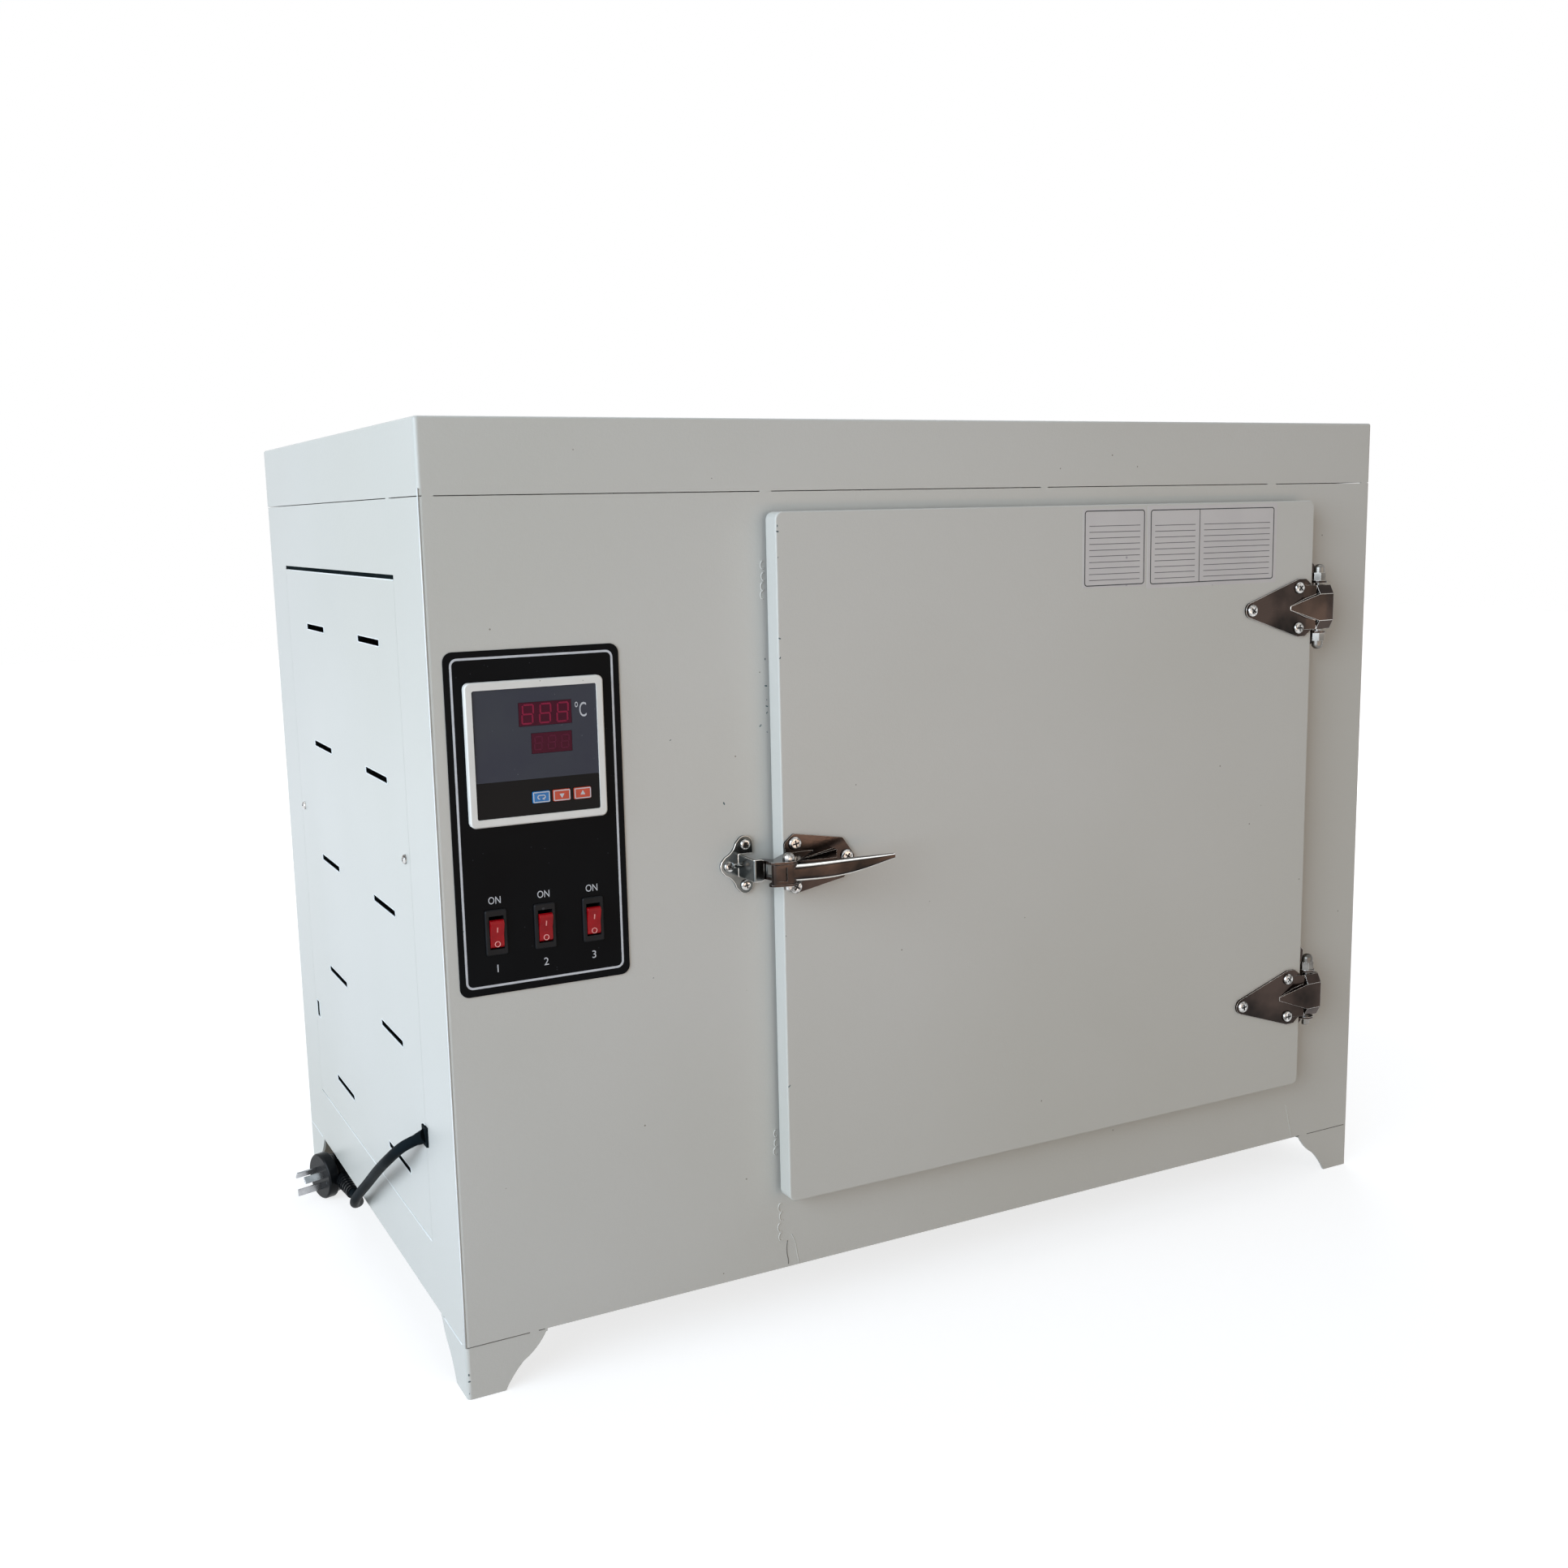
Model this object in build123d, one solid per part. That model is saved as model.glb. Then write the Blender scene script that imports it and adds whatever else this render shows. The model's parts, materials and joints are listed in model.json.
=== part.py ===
from build123d import *
import os
from math import cos, pi, radians, sin, tan

os.makedirs("parts", exist_ok=True)

# Bench drying oven with a front door, in millimetres.
# Cabinet coordinates: x from the left side, y from the front face to the rear, z up from the floor.

# Chamber and what surrounds it
CHAMBER_WIDTH = 450.0
CHAMBER_HEIGHT = 450.0
CHAMBER_BACK_Y = 352.0
CONTROL_BAY = 271.0          # left side of the cabinet to the chamber
RIGHT_WALL = 109.0           # chamber to the right side of the cabinet
REAR_SPACE = 155.5           # chamber back to the rear of the cabinet
BELOW_CHAMBER = 87.1         # underside of the cabinet to the chamber mouth
ABOVE_CHAMBER = 41.9         # chamber mouth to the seam under the top cover
FOOT_HEIGHT = 38.4
COVER_HEIGHT = 49.6
HEATER_SPACE = 41.5          # depth of the heater space under the chamber floor
REAR_WOOL = 62.0             # wool behind the chamber

# Sheet metal
SHEET = 1.5
LINER_SHEET = 1.2
FLANGE_PAST_RIM = 3.0        # how far the chamber's front flange reaches behind the front
CORNER_RADIUS = 3.0
RIM_WIDTH = 12.0             # inward rims at the top and behind the side panel
REAR_RIM = 24.0
SEAM_GAP = 0.6
FIT = 0.3                    # gap round a piece that drops into a cut-out

# Seam tabs that carry the top cover
FRONT_TABS = ((0.0, 10.2), (242.5, 251.3), (483.3, 489.4), (713.4, 722.5))
SIDE_TABS = ((0.0, 12.0), (72.0, 81.0))
TAB_END = 6.1

# Removable side panel
PANEL_FRONT_Y = 72.0
PANEL_REAR_Y = 442.0
PANEL_BOTTOM_Z = 88.5
PANEL_TOP_DROP = 53.8        # top of the cabinet to the top of the panel
PANEL_TOP_SLIT = 3.0
SLOT_LENGTH = 65.0
SLOT_HEIGHT = 5.2
SLOT_RADIUS = 1.8
SLOT_ROWS = 5
SLOT_PITCH = 98.4
SLOT_TOP_DROP = 46.0         # top of the panel to its first slots
SLOT_COLUMNS_Y = (155.0, 335.0)
NOTCH_Z = (161.0, 176.0)
NOTCH_FRONT_Y = (66.5, 78.5)
NOTCH_REAR_Y = (425.0, 437.0)
PANEL_SCREWS = ((84.0, 368.0), (429.0, 355.5))

# Feet: distance of the ogee edge from the corner
FOOT_SHEET = 2.0
FOOT_TOP_REACH = 59.5
FOOT_WAIST = (41.0, 18.5)
FOOT_BOTTOM_REACH = 27.3
FOOT_UPPER_BULGE = 2.0
FOOT_LOWER_BULGE = 0.9
FOOT_FLANGE = 14.0

# Rear panel
BACK_SHEET = 1.5
BACK_MARGIN = 12.0
BACK_SCREW_INSET = 6.0

# Screws
SCREW_HEAD_RADIUS = 4.1
DOOR_HEAD_RADIUS = 5.0       # the larger heads on the door
PANEL_HEAD_RADIUS = 3.5
SCREW_HEAD_HEIGHT = 2.4
SCREW_CROWN = 1.08           # bevel of a screw's head
SCREW_SHANK_RADIUS = 1.9
SCREW_SHANK_LENGTH = 4.2
SCREW_HOLE_RADIUS = 2.05

# Control compartment and fan
PARTITION_X = 236.0
FAN_Y = 180.0
FAN_Z = 350.0
FAN_RADIUS = 72.0
FAN_WIDTH = 20.0
FAN_BLADES = 10
FAN_BLADE_LEAN = 18.0
FAN_CLEARANCE = 5.0
SHAFT_RADIUS = 4.0
SHAFT_FIT = 0.06
SHAFT_HOLE_GAP = 4.0         # round the shaft where it passes the walls
HUB_WALL = 8.0
BLADE_START = 32.4           # fan axis to the inner ends of the blades
MOTOR_RADIUS = 42.0
MOTOR_LENGTH = 66.0
MOTOR_FLANGE = 104.0
MOTOR_FLANGE_THICK = 4.0
MOTOR_FLANGE_CORNER = 10.0
MOTOR_EDGE = 6.0
SHAFT_IN_MOTOR = 40.0
GRILLE_SIZE = 216.0
GRILLE_WINDOW = 190.0
GRILLE_SLOTS = 11
GRILLE_SLOT = (76.0, 9.0)

# Shelves
RAIL_COUNT = 5
RAIL_FIRST_Z = 196.0
RAIL_PITCH = 78.0
RAIL_WIDTH = 12.0
RAIL_THICK = 2.0
RAIL_LENGTH = 290.0
RAIL_BAR_WIDTH = 12.0
RAIL_BAR_THICK = 4.0
RAIL_BAR_BELOW = 30.0        # lowest rail to the foot of the bars
RAIL_BAR_ABOVE = 20.0
SHELF_RAILS = (0, 2)
SHELF_FRONT_Y = 27.0
SHELF_BACK_GAP = 7.0         # shelf to the chamber's back
SHELF_ROD_RADIUS = 3.0
SHELF_WIRE_RADIUS = 1.6
SHELF_WIRES = 15
SHELF_SIDE_GAP = 1.0

# Heaters
HEATER_COUNT = 3
HEATER_PITCH = 104.0
HEATER_FIRST_Y = 46.0
HEATER_GAP = 56.0
HEATER_RADIUS = 4.0
HEATER_END_GAP = 33.0        # bend of a heater to the right wall
HEATER_Z = 102.0
COLLAR_RADIUS = 7.0
COLLAR_LENGTH = 4.0
STUD_RADIUS = 2.5
STUD_LENGTH = 14.0
PROBE_LENGTH = 58.0
PROBE_DROP = 9.0             # chamber mouth to the probe below it
COVER_THICK = 1.5
COVER_DROP = 0.75            # chamber mouth to the top of the heater cover
COVER_SLOT = (90.0, 10.0)
COVER_COLUMNS = 4
COVER_ROWS = 5

# Terminals and relay in the control compartment: corners and sizes
TERMINAL_CORNER = (60.0, 90.0)
TERMINAL_BASE = (72.0, 30.0, 14.0)
TERMINAL_POST = (10.0, 22.0, 8.0)
TERMINAL_COUNT = 5
SINK_CORNER = (330.0, 180.0)
SINK_SIZE = (90.0, 80.0)
SINK_PLATE = 4.0
SINK_FIN = (20.0, 2.0)
SINK_FINS = 8
RELAY_SIZE = (26.0, 44.0, 58.0)
RELAY_EDGE = 2.0

# Exhaust vent on the top cover
VENT_X = 496.0
VENT_Y = 240.0
VENT_PIPE_RADIUS = 28.0
VENT_PIPE_WALL = 1.2
VENT_COLLAR_RADIUS = 38.0
VENT_DISC_RADIUS = 30.0
VENT_PLATE = 1.5
VENT_HOLES = 4
VENT_HOLE_RADIUS = 6.5
VENT_HOLE_CIRCLE = 18.0
VENT_KNOB_RADIUS = 8.0
VENT_KNOB_HEIGHT = 6.0
VENT_WING = (48.0, 4.0, 3.6)
VENT_RIVET_RADIUS = 2.5
RIVET_HEAD_RIM = 2.0         # how much wider its head is than its shank, each side
RIVET_HEAD_THICK = 1.2

# Door
DOOR_OVERLAP_SIDE = 26.75
DOOR_OVERLAP_END = 27.5
DOOR_FACE_Y = -18.8
DOOR_BACK_Y = -4.0
DOOR_CORNER = 6.0
DOOR_EDGE = 1.2
DOOR_SHEET = 1.2
PLUG_CLEARANCE = 4.0
PLUG_DEPTH = 22.0
PLUG_CHAMFER = 5.0
SEAL_MARGIN = 5.0
SEAL_WIDTH = 9.0
SEAL_GAP = 0.3

# Hinges
HINGE_TOP_Z = 515.0
HINGE_BOTTOM_Z = 179.0
PIN_RADIUS = 3.0
PIN_FIT = 0.05
PIN_FROM_DOOR = 7.25
PIN_Y = -19.0
LEAF_THICK = 2.0
LEAF_TIP_REACH = 67.5        # door edge to the tip screw
LEAF_TIP_RADIUS = 6.5
LEAF_WIDE_REACH = 16.5       # door edge to the two wide screws
LEAF_SCREW_RISE = 16.5
LEAF_HALF_HEIGHT = 24.0
LEAF_CORNERS = ((-16.5, 22.0), (-9.5, 22.0), (-5.0, 18.5))     # from the door edge, above and below
LEAF_CORNER_RADIUS = 2.0
KNUCKLE_HALF_HEIGHT = 18.3
KNUCKLE_SIDE_FRONT = 5.0     # pin axis to where the knuckle's slanted sides begin
KNUCKLE_WALL = 1.6
KNUCKLE_FRONT = 9.0          # pin axis to the outer faces of the knuckle
KNUCKLE_REAR = 6.0
RIB_REACH = 25.5
RIB_START_HALF = 1.5
RIB_HALF_HEIGHT = 11.0
RAMP_REACH = 10.0
LUG_RADIUS = 6.4
LUG_THICK = 2.0
LUG_GAP = 1.6
BRACKET_THICK = 2.0
BRACKET_WIDTH = 18.4
BRACKET_CORNER = 3.0
BRACKET_UP = 36.5
BRACKET_DOWN = 34.0
NUT_RADIUS = 5.5
NUT_HEIGHT = 6.5
NUT_DOME_RADIUS = 4.6
NUT_DOME = 7.0
PIN_TAIL = 6.0

# Latch
LATCH_Z = 353.5
KEEPER_THICK = 2.5
KEEPER_TIP = (-7.7, 0.0)     # centres of the three lobes from the tongue and the latch axis
KEEPER_UPPER = (5.3, 15.0)
KEEPER_LOWER = (5.3, -15.0)
KEEPER_TIP_RADIUS = 6.5
KEEPER_LOBE_RADIUS = 6.2
KEEPER_CARVE_RADIUS = 14.0
KEEPER_CARVE_DEPTH = 1.5
TONGUE_FROM_DOOR = 27.25     # door edge to the tongue's left face
TONGUE_THICK = 2.0
TONGUE_HALF_WIDTH = 8.0
TONGUE_REACH = 27.5
LIP_LENGTH = 8.0             # tongue's left face to the end of the lip
LIP_CORNER = (2.0, 1.0)
GUSSET = (3.2, 6.5, 2.4)
LATCH_PLATE_THICK = 2.0
LATCH_EAR_THICK = 1.6
LATCH_PLATE_GAP = 0.6        # door edge to the latch plate
LATCH_OUTLINE = ((0.0, 16.0), (7.5, 22.2), (47.6, 15.4), (57.8, 0.8), (48.8, -14.2), (9.9, -21.4),
                 (0.4, -16.0))
LATCH_OUTLINE_RADIUS = 3.0
LATCH_EAR_LENGTH = 23.0
LATCH_RAMP = (13.0, 39.6)    # where the pressed ramp starts and ends
LATCH_RAMP_TIP = (0.8, 0.6)  # its rise and how far it stands out at the start
LATCH_RAMP_END = (6.2, 5.2)
LATCH_RAMP_LOW = 2.2         # its lower edge above the latch axis
LATCH_SCREWS = ((8.8, 15.2), (51.2, 1.4), (8.8, -16.5))
PIVOT_FROM_DOOR = -7.25      # door edge to the lever pivot, to the left
PIVOT_Y = -42.0
PIVOT_RADIUS = 2.5
PIVOT_FIT = 0.05
EAR_BOSS_RADIUS = 7.0
EAR_TIP = (-11.0, 0.0)       # from the pivot
EAR_TIP_RADIUS = 4.3
LEVER_HALF_HEIGHT = 6.7
LEVER_EAR_GAP = 0.4
LEVER_BOSS_RADIUS = 6.6
# Sections of the handle: right and front of the pivot, rise, depth, less than the full height, turn
LEVER_SECTIONS = ((0.0, 0.5, 0.0, 11.6, 0.8, 3.0), (14.0, 3.5, 0.0, 11.0, 1.0, 10.0),
                  (34.0, 7.5, 0.6, 9.0, 1.4, 12.0), (56.0, 12.5, 3.0, 6.6, 5.0, 13.0),
                  (76.0, 17.0, 6.2, 4.0, 10.0, 12.0))
BLOCK_TIP = (-10.7, -1.6)    # front block of the lever, from the pivot
BLOCK_TIP_RADIUS = 3.4
BLOCK_POCKET = (9.0, 9.8)
BLOCK_POCKET_Y = -46.9
BLOCK_POCKET_FROM_PIVOT = -13.2
CATCH_RADIUS = 3.5
CATCH_HOLD = 1.5             # how far the catch pin reaches behind the lip
CATCH_GAP = 0.4
CATCH_CHEEK = 2.2
CATCH_CHEEK_RADIUS = 2.6
CHEEK_STEP = 0.6             # lever boss to the cheeks, in radius
DOME_RADIUS = 4.3
DOME_HEIGHT = 5.2
PIVOT_NUT_RADIUS = 3.87
PIVOT_NUT_HEIGHT = 3.64

# Control label, controller and switches on the front
LABEL_X = (10.0, 131.5)
LABEL_Z = (286.4, 517.4)
LABEL_THICK = 0.8
LABEL_RADIUS = 6.5
METER_CENTRE = (69.9, 449.0)
METER_SIZE = 96.0
METER_CUTOUT = 92.0
METER_CASE = 91.0
METER_CASE_DEPTH = 76.0
METER_CASE_CORNER = 2.0
METER_PROUD = 4.6
METER_RADIUS = 4.0
METER_FACE = (86.4, 85.5)
METER_FACE_CORNER = 1.5
METER_EDGE = 0.8
METER_RECESS = 0.9
WINDOW_THICK = 0.7
WINDOW_MAIN = (36.6, 15.6, 76.6, 474.0)      # width, height, x, z
WINDOW_SET = (28.2, 13.5, 80.4, 454.2)
KEY_SIZE = (12.4, 8.0)
KEY_X = (71.1, 85.45, 100.3)
KEY_Z = 418.0
KEY_TRAVEL = 0.8
KEY_PROUD = 1.1
KEY_GAP = 0.25
KEY_CORNER = 1.0
KEY_WELL_CORNER = 1.2
KEY_EDGE = 0.35
SWITCH_X = (36.6, 70.85, 105.55)
SWITCH_Z = 328.9
SWITCH_BEZEL = (15.2, 31.3)
SWITCH_BEZEL_PROUD = 1.8
SWITCH_CUTOUT = (13.0, 28.5)
SWITCH_BEZEL_CORNER = 1.6
SWITCH_BEZEL_EDGE = 0.7
SWITCH_BODY = (12.6, 28.0, 20.0)
SWITCH_FLOOR = 3.0           # thickness of the housing behind the well
ROCKER_WIDTH = 9.4
ROCKER_HALF_LENGTH = 9.8
ROCKER_TILT = 8.0
ROCKER_PIVOT_DEPTH = 5.0     # behind the face of the label
ROCKER_END_RISE = 4.0        # label face to the rocker's ends, when level
ROCKER_MIDDLE_RISE = 2.6
ROCKER_END_DEPTH = 3.4       # how thick the rocker's ends are, front to rear
ROCKER_ROOT_DEPTH = 3.0      # behind its axis
ROCKER_ROOT_HALF = 4.41
ROCKER_SIDE_GAP = 0.4
ROCKER_END_GAP = 0.4
TRUNNION_RADIUS = 1.2
TRUNNION_LENGTH = 0.8
TRUNNION_FIT = 0.05
TRUNNION_END_GAP = 0.1

# Mains lead from the notch to the plug on the floor beside the rear foot
CORD_RADIUS = 4.0
CORD_POINTS = ((-4.5, 79.1, 164.4), (-10.5, 87.9, 158.9), (-14.6, 100.0, 150.6), (-16.6, 122.0, 136.6),
               (-16.0, 152.0, 119.6), (-14.0, 188.0, 99.2), (-12.6, 222.0, 78.8), (-12.5, 248.0, 63.0),
               (-12.2, 271.0, 48.0), (-8.6, 292.0, 35.6), (-1.5, 312.0, 27.4), (4.0, 330.0, 21.0),
               (3.6, 352.0, 20.4))
BOOT_LENGTH = 9.0
BOOT_ROOT_WALL = 1.4
BOOT_TIP_WALL = 0.4
GROMMET_PROUD = 1.6
PLUG_FACE_CENTRE = (-14.9, 404.4)
PLUG_AXIS = (0.967, 0.252)
PLUG_RADIUS = 20.4
PLUG_FLANGE = 10.0
PLUG_BODY_DEPTH = 27.0
PLUG_FLANGE_EDGE = 1.2
PLUG_BACK_RADIUS = 16.4
PLUG_BACK_TAPER = 1.0        # how much wider the back is where it leaves the flange
PLUG_BACK_INSIDE = 2.0       # how far it starts inside the flange
PLUG_BACK_EDGE = 2.0
RELIEF_ROOT_RADIUS = 7.0
RELIEF_TIP_RADIUS = 5.0
RELIEF_RIBS = 6
RELIEF_RIB_RISE = 0.8
RELIEF_FIRST_RIB = 2.5       # tip of the relief to its first rib
RELIEF_PLAIN = 14.0          # length of the relief without ribs
RELIEF_END_Y = 6.0           # centre of the pin face to the relief's end, front to rear
PLUG_PIN_THICK = 1.5
PLUG_PIN_WIDTH = 6.3
PLUG_PIN_LENGTH = 18.0
EARTH_PIN_LENGTH = 21.0
PLUG_PIN_SPREAD = 7.9        # plug axis to each slanted pin
PLUG_PIN_RISE = 3.7
PLUG_PIN_SLANT = 30.0
EARTH_PIN_DROP = 9.2

# Derived places
CABINET_WIDTH = CONTROL_BAY + CHAMBER_WIDTH + RIGHT_WALL
CABINET_DEPTH = CHAMBER_BACK_Y + REAR_SPACE
CHAMBER_X = (CONTROL_BAY, CONTROL_BAY + CHAMBER_WIDTH)
MOUTH_Z = (FOOT_HEIGHT + BELOW_CHAMBER, FOOT_HEIGHT + BELOW_CHAMBER + CHAMBER_HEIGHT)
SEAM_Z = MOUTH_Z[1] + ABOVE_CHAMBER
CABINET_TOP = SEAM_Z - SEAM_GAP
TOTAL_HEIGHT = SEAM_Z + COVER_HEIGHT
PANEL_TOP_Z = CABINET_TOP - PANEL_TOP_DROP
SLOT_TOP_Z = PANEL_TOP_Z - SLOT_TOP_DROP
DOOR_X = (CHAMBER_X[0] - DOOR_OVERLAP_SIDE, CHAMBER_X[1] + DOOR_OVERLAP_SIDE)
DOOR_Z = (MOUTH_Z[0] - DOOR_OVERLAP_END, MOUTH_Z[1] + DOOR_OVERLAP_END)
LINER_BOTTOM = MOUTH_Z[0] - HEATER_SPACE
PIN_X = DOOR_X[1] + PIN_FROM_DOOR
LUG_INNER = KNUCKLE_HALF_HEIGHT + LUG_GAP
PIVOT_X = DOOR_X[0] + PIVOT_FROM_DOOR
TONGUE_X = DOOR_X[0] - TONGUE_FROM_DOOR
LIP_END = TONGUE_X + LIP_LENGTH
CATCH_X = LIP_END + CATCH_RADIUS - CATCH_HOLD
CATCH_Y = TONGUE_THICK - TONGUE_REACH + CATCH_GAP + CATCH_RADIUS
EAR_INNER = LEVER_HALF_HEIGHT + LEVER_EAR_GAP
EAR_OUTER = EAR_INNER + LATCH_EAR_THICK
METER_FRONT = -LABEL_THICK - METER_PROUD
FACE_Y = METER_FRONT + METER_RECESS
ROCKER_Y = -LABEL_THICK + ROCKER_PIVOT_DEPTH
BRACKET_X = (DOOR_X[1] + PIN_FROM_DOOR - LUG_RADIUS, DOOR_X[1] + PIN_FROM_DOOR - LUG_RADIUS + BRACKET_WIDTH)
NOTCH_CENTRE = (0.0, (NOTCH_FRONT_Y[0] + NOTCH_FRONT_Y[1]) / 2, (NOTCH_Z[0] + NOTCH_Z[1]) / 2)
SHELF_DEPTH = CHAMBER_BACK_Y - SHELF_BACK_GAP - SHELF_FRONT_Y
COVER_Z = (MOUTH_Z[0] - COVER_DROP - COVER_THICK, MOUTH_Z[0] - COVER_DROP)
HEATER_Y = [HEATER_FIRST_Y + index * HEATER_PITCH for index in range(HEATER_COUNT)]
PROBE_Z = MOUTH_Z[1] - PROBE_DROP
PROBE_Y = FAN_Y


def block(x, y, z):
    """A box from its low and high x, y and z."""
    centre = Pos((x[0] + x[1]) / 2, (y[0] + y[1]) / 2, (z[0] + z[1]) / 2)
    return centre * Box(x[1] - x[0], y[1] - y[0], z[1] - z[0])


def on_front(sketch, rear_y, thick):
    """Extrude a sketch of x and z forward from rear_y."""
    return extrude(Plane.XZ.offset(-rear_y) * sketch, amount=thick)


def on_plan(sketch, low_z, height):
    """Extrude a sketch of x and y upward from low_z."""
    return extrude(Plane.XY.offset(low_z) * sketch, amount=height)


def on_side(sketch, low_x, thick):
    """Extrude a sketch of y and z to the right from low_x."""
    return extrude(Plane.YZ.offset(low_x) * sketch, amount=thick)


def rounded(x, z, radius):
    """A rounded rectangle between two limits on each axis."""
    return Pos((x[0] + x[1]) / 2, (z[0] + z[1]) / 2) * RectangleRounded(x[1] - x[0], z[1] - z[0], radius)


def grown(limits, by):
    """A pair of limits moved outward by a distance."""
    return (limits[0] - by, limits[1] + by)


def rod(start, end, radius):
    """A round bar between two points."""
    axis = Vector(*end) - Vector(*start)
    return extrude(Plane(origin=start, z_dir=axis) * Circle(radius), amount=axis.length)


def screw(at, outward, head_radius=SCREW_HEAD_RADIUS):
    """A pan-head screw whose head seats at a point."""
    seat = Plane(origin=at, z_dir=outward)
    head = extrude(seat * Circle(head_radius), amount=SCREW_HEAD_HEIGHT)
    crown = head.faces().sort_by(Axis(at, outward))[-1].edges()
    head = chamfer(crown, SCREW_CROWN)
    shank = extrude(seat * Circle(SCREW_SHANK_RADIUS), amount=-SCREW_SHANK_LENGTH)
    return head + shank


def front_hole(x, z, near_y, far_y, radius=SCREW_HOLE_RADIUS):
    """The cutter for a round hole from front to rear."""
    return rod((x, near_y, z), (x, far_y, z), radius)


def group(pieces):
    """Keep separate solids together in one node."""
    return Compound([solid for piece in pieces for solid in piece.solids()])


# Cabinet


def bracket_screw_places():
    """Two screws in each hinge bracket, above and below its lugs."""
    x = (BRACKET_X[0] + BRACKET_X[1]) / 2
    places = []
    for centre_z in (HINGE_TOP_Z, HINGE_BOTTOM_Z):
        places.append((x, centre_z + (LUG_INNER + LUG_THICK + BRACKET_UP) / 2))
        places.append((x, centre_z - (LUG_INNER + LUG_THICK + BRACKET_DOWN) / 2))
    return places


def keeper_screw_places():
    return [(TONGUE_X + across, LATCH_Z + rise) for across, rise in (KEEPER_TIP, KEEPER_UPPER, KEEPER_LOWER)]


def back_screw_places():
    inset = BACK_MARGIN + BACK_SCREW_INSET
    columns = (inset, CABINET_WIDTH / 2, CABINET_WIDTH - inset)
    rows = (FOOT_HEIGHT + inset, (FOOT_HEIGHT + CABINET_TOP) / 2, CABINET_TOP - inset)
    return [(x, z) for x in columns for z in rows if (x, z) != (columns[1], rows[1])]


def cabinet():
    inner_x = (SHEET, CABINET_WIDTH - SHEET)
    inner_y = (SHEET, CABINET_DEPTH - SHEET)
    shell = block((0, CABINET_WIDTH), (0, CABINET_DEPTH), (FOOT_HEIGHT, CABINET_TOP))
    shell = fillet(shell.edges().filter_by(Axis.Z), CORNER_RADIUS)
    shell -= block(inner_x, inner_y, (FOOT_HEIGHT + SHEET, CABINET_TOP))
    rim = block(inner_x, inner_y, (CABINET_TOP - SHEET, CABINET_TOP))
    rim -= block(grown(inner_x, -RIM_WIDTH), grown(inner_y, -RIM_WIDTH), (CABINET_TOP - SHEET, CABINET_TOP))
    shell += rim
    shell -= block((REAR_RIM, CABINET_WIDTH - REAR_RIM), (CABINET_DEPTH - SHEET, CABINET_DEPTH),
                   (FOOT_HEIGHT + REAR_RIM, CABINET_TOP - REAR_RIM))
    opening_y = (PANEL_FRONT_Y, PANEL_REAR_Y)
    opening_z = (PANEL_BOTTOM_Z, PANEL_TOP_Z + PANEL_TOP_SLIT)
    shell -= block((0, SHEET), opening_y, opening_z)
    ledge = block((SHEET, 2 * SHEET), grown(opening_y, RIM_WIDTH), grown(opening_z, RIM_WIDTH))
    ledge -= block((SHEET, 2 * SHEET), grown(opening_y, -RIM_WIDTH), grown(opening_z, -RIM_WIDTH))
    shell += ledge
    shell -= block((0, 2 * SHEET), NOTCH_FRONT_Y, NOTCH_Z)
    shell -= block(CHAMBER_X, (0, SHEET), MOUTH_Z)
    shell -= on_front(Pos(*METER_CENTRE) * Rectangle(METER_CUTOUT, METER_CUTOUT), SHEET, SHEET)
    for x in SWITCH_X:
        shell -= on_front(Pos(x, SWITCH_Z) * Rectangle(*SWITCH_CUTOUT), SHEET, SHEET)
    for x, z in keeper_screw_places() + bracket_screw_places():
        shell -= front_hole(x, z, -1, SHEET + 1)
    for x, z in back_screw_places():
        shell -= front_hole(x, z, CABINET_DEPTH - SHEET - 1, CABINET_DEPTH + 1)
    for y, z in PANEL_SCREWS:
        shell -= rod((-1, y, z), (2 * SHEET + 1, y, z), SCREW_HOLE_RADIUS)
    for low, high in FRONT_TABS[1:]:
        shell += block((low, high), (0, SHEET), (CABINET_TOP, SEAM_Z))
    for low, high in SIDE_TABS[1:]:
        shell += block((0, SHEET), (low, high), (CABINET_TOP, SEAM_Z))
        shell += block((CABINET_WIDTH - SHEET, CABINET_WIDTH), (low, high), (CABINET_TOP, SEAM_Z))
    corner = block((CORNER_RADIUS, FRONT_TABS[0][1]), (0, SHEET), (CABINET_TOP, SEAM_Z))
    shell += corner
    shell += Pos(CABINET_WIDTH - FRONT_TABS[0][1] - TAB_END / 2, 0, 0) * corner
    return shell


def top_cover():
    depth = CABINET_DEPTH + BACK_SHEET
    lid = block((0, CABINET_WIDTH), (0, depth), (SEAM_Z, TOTAL_HEIGHT))
    lid = fillet(lid.edges().filter_by(Axis.Z), CORNER_RADIUS)
    lid = fillet(lid.faces().sort_by(Axis.Z)[-1].edges(), CORNER_RADIUS * 0.6)
    lid -= block((SHEET, CABINET_WIDTH - SHEET), (SHEET, depth - SHEET), (SEAM_Z, TOTAL_HEIGHT - SHEET))
    lid -= on_plan(Pos(VENT_X, VENT_Y) * Circle(VENT_PIPE_RADIUS + FIT), TOTAL_HEIGHT - SHEET - 1, SHEET + 2)
    return lid


def back_panel():
    x = (BACK_MARGIN, CABINET_WIDTH - BACK_MARGIN)
    z = (FOOT_HEIGHT + BACK_MARGIN, CABINET_TOP - BACK_MARGIN)
    panel = block(x, (CABINET_DEPTH, CABINET_DEPTH + BACK_SHEET), z)
    for hole_x, hole_z in back_screw_places():
        panel -= front_hole(hole_x, hole_z, CABINET_DEPTH - 1, CABINET_DEPTH + BACK_SHEET + 1)
    return panel


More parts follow.
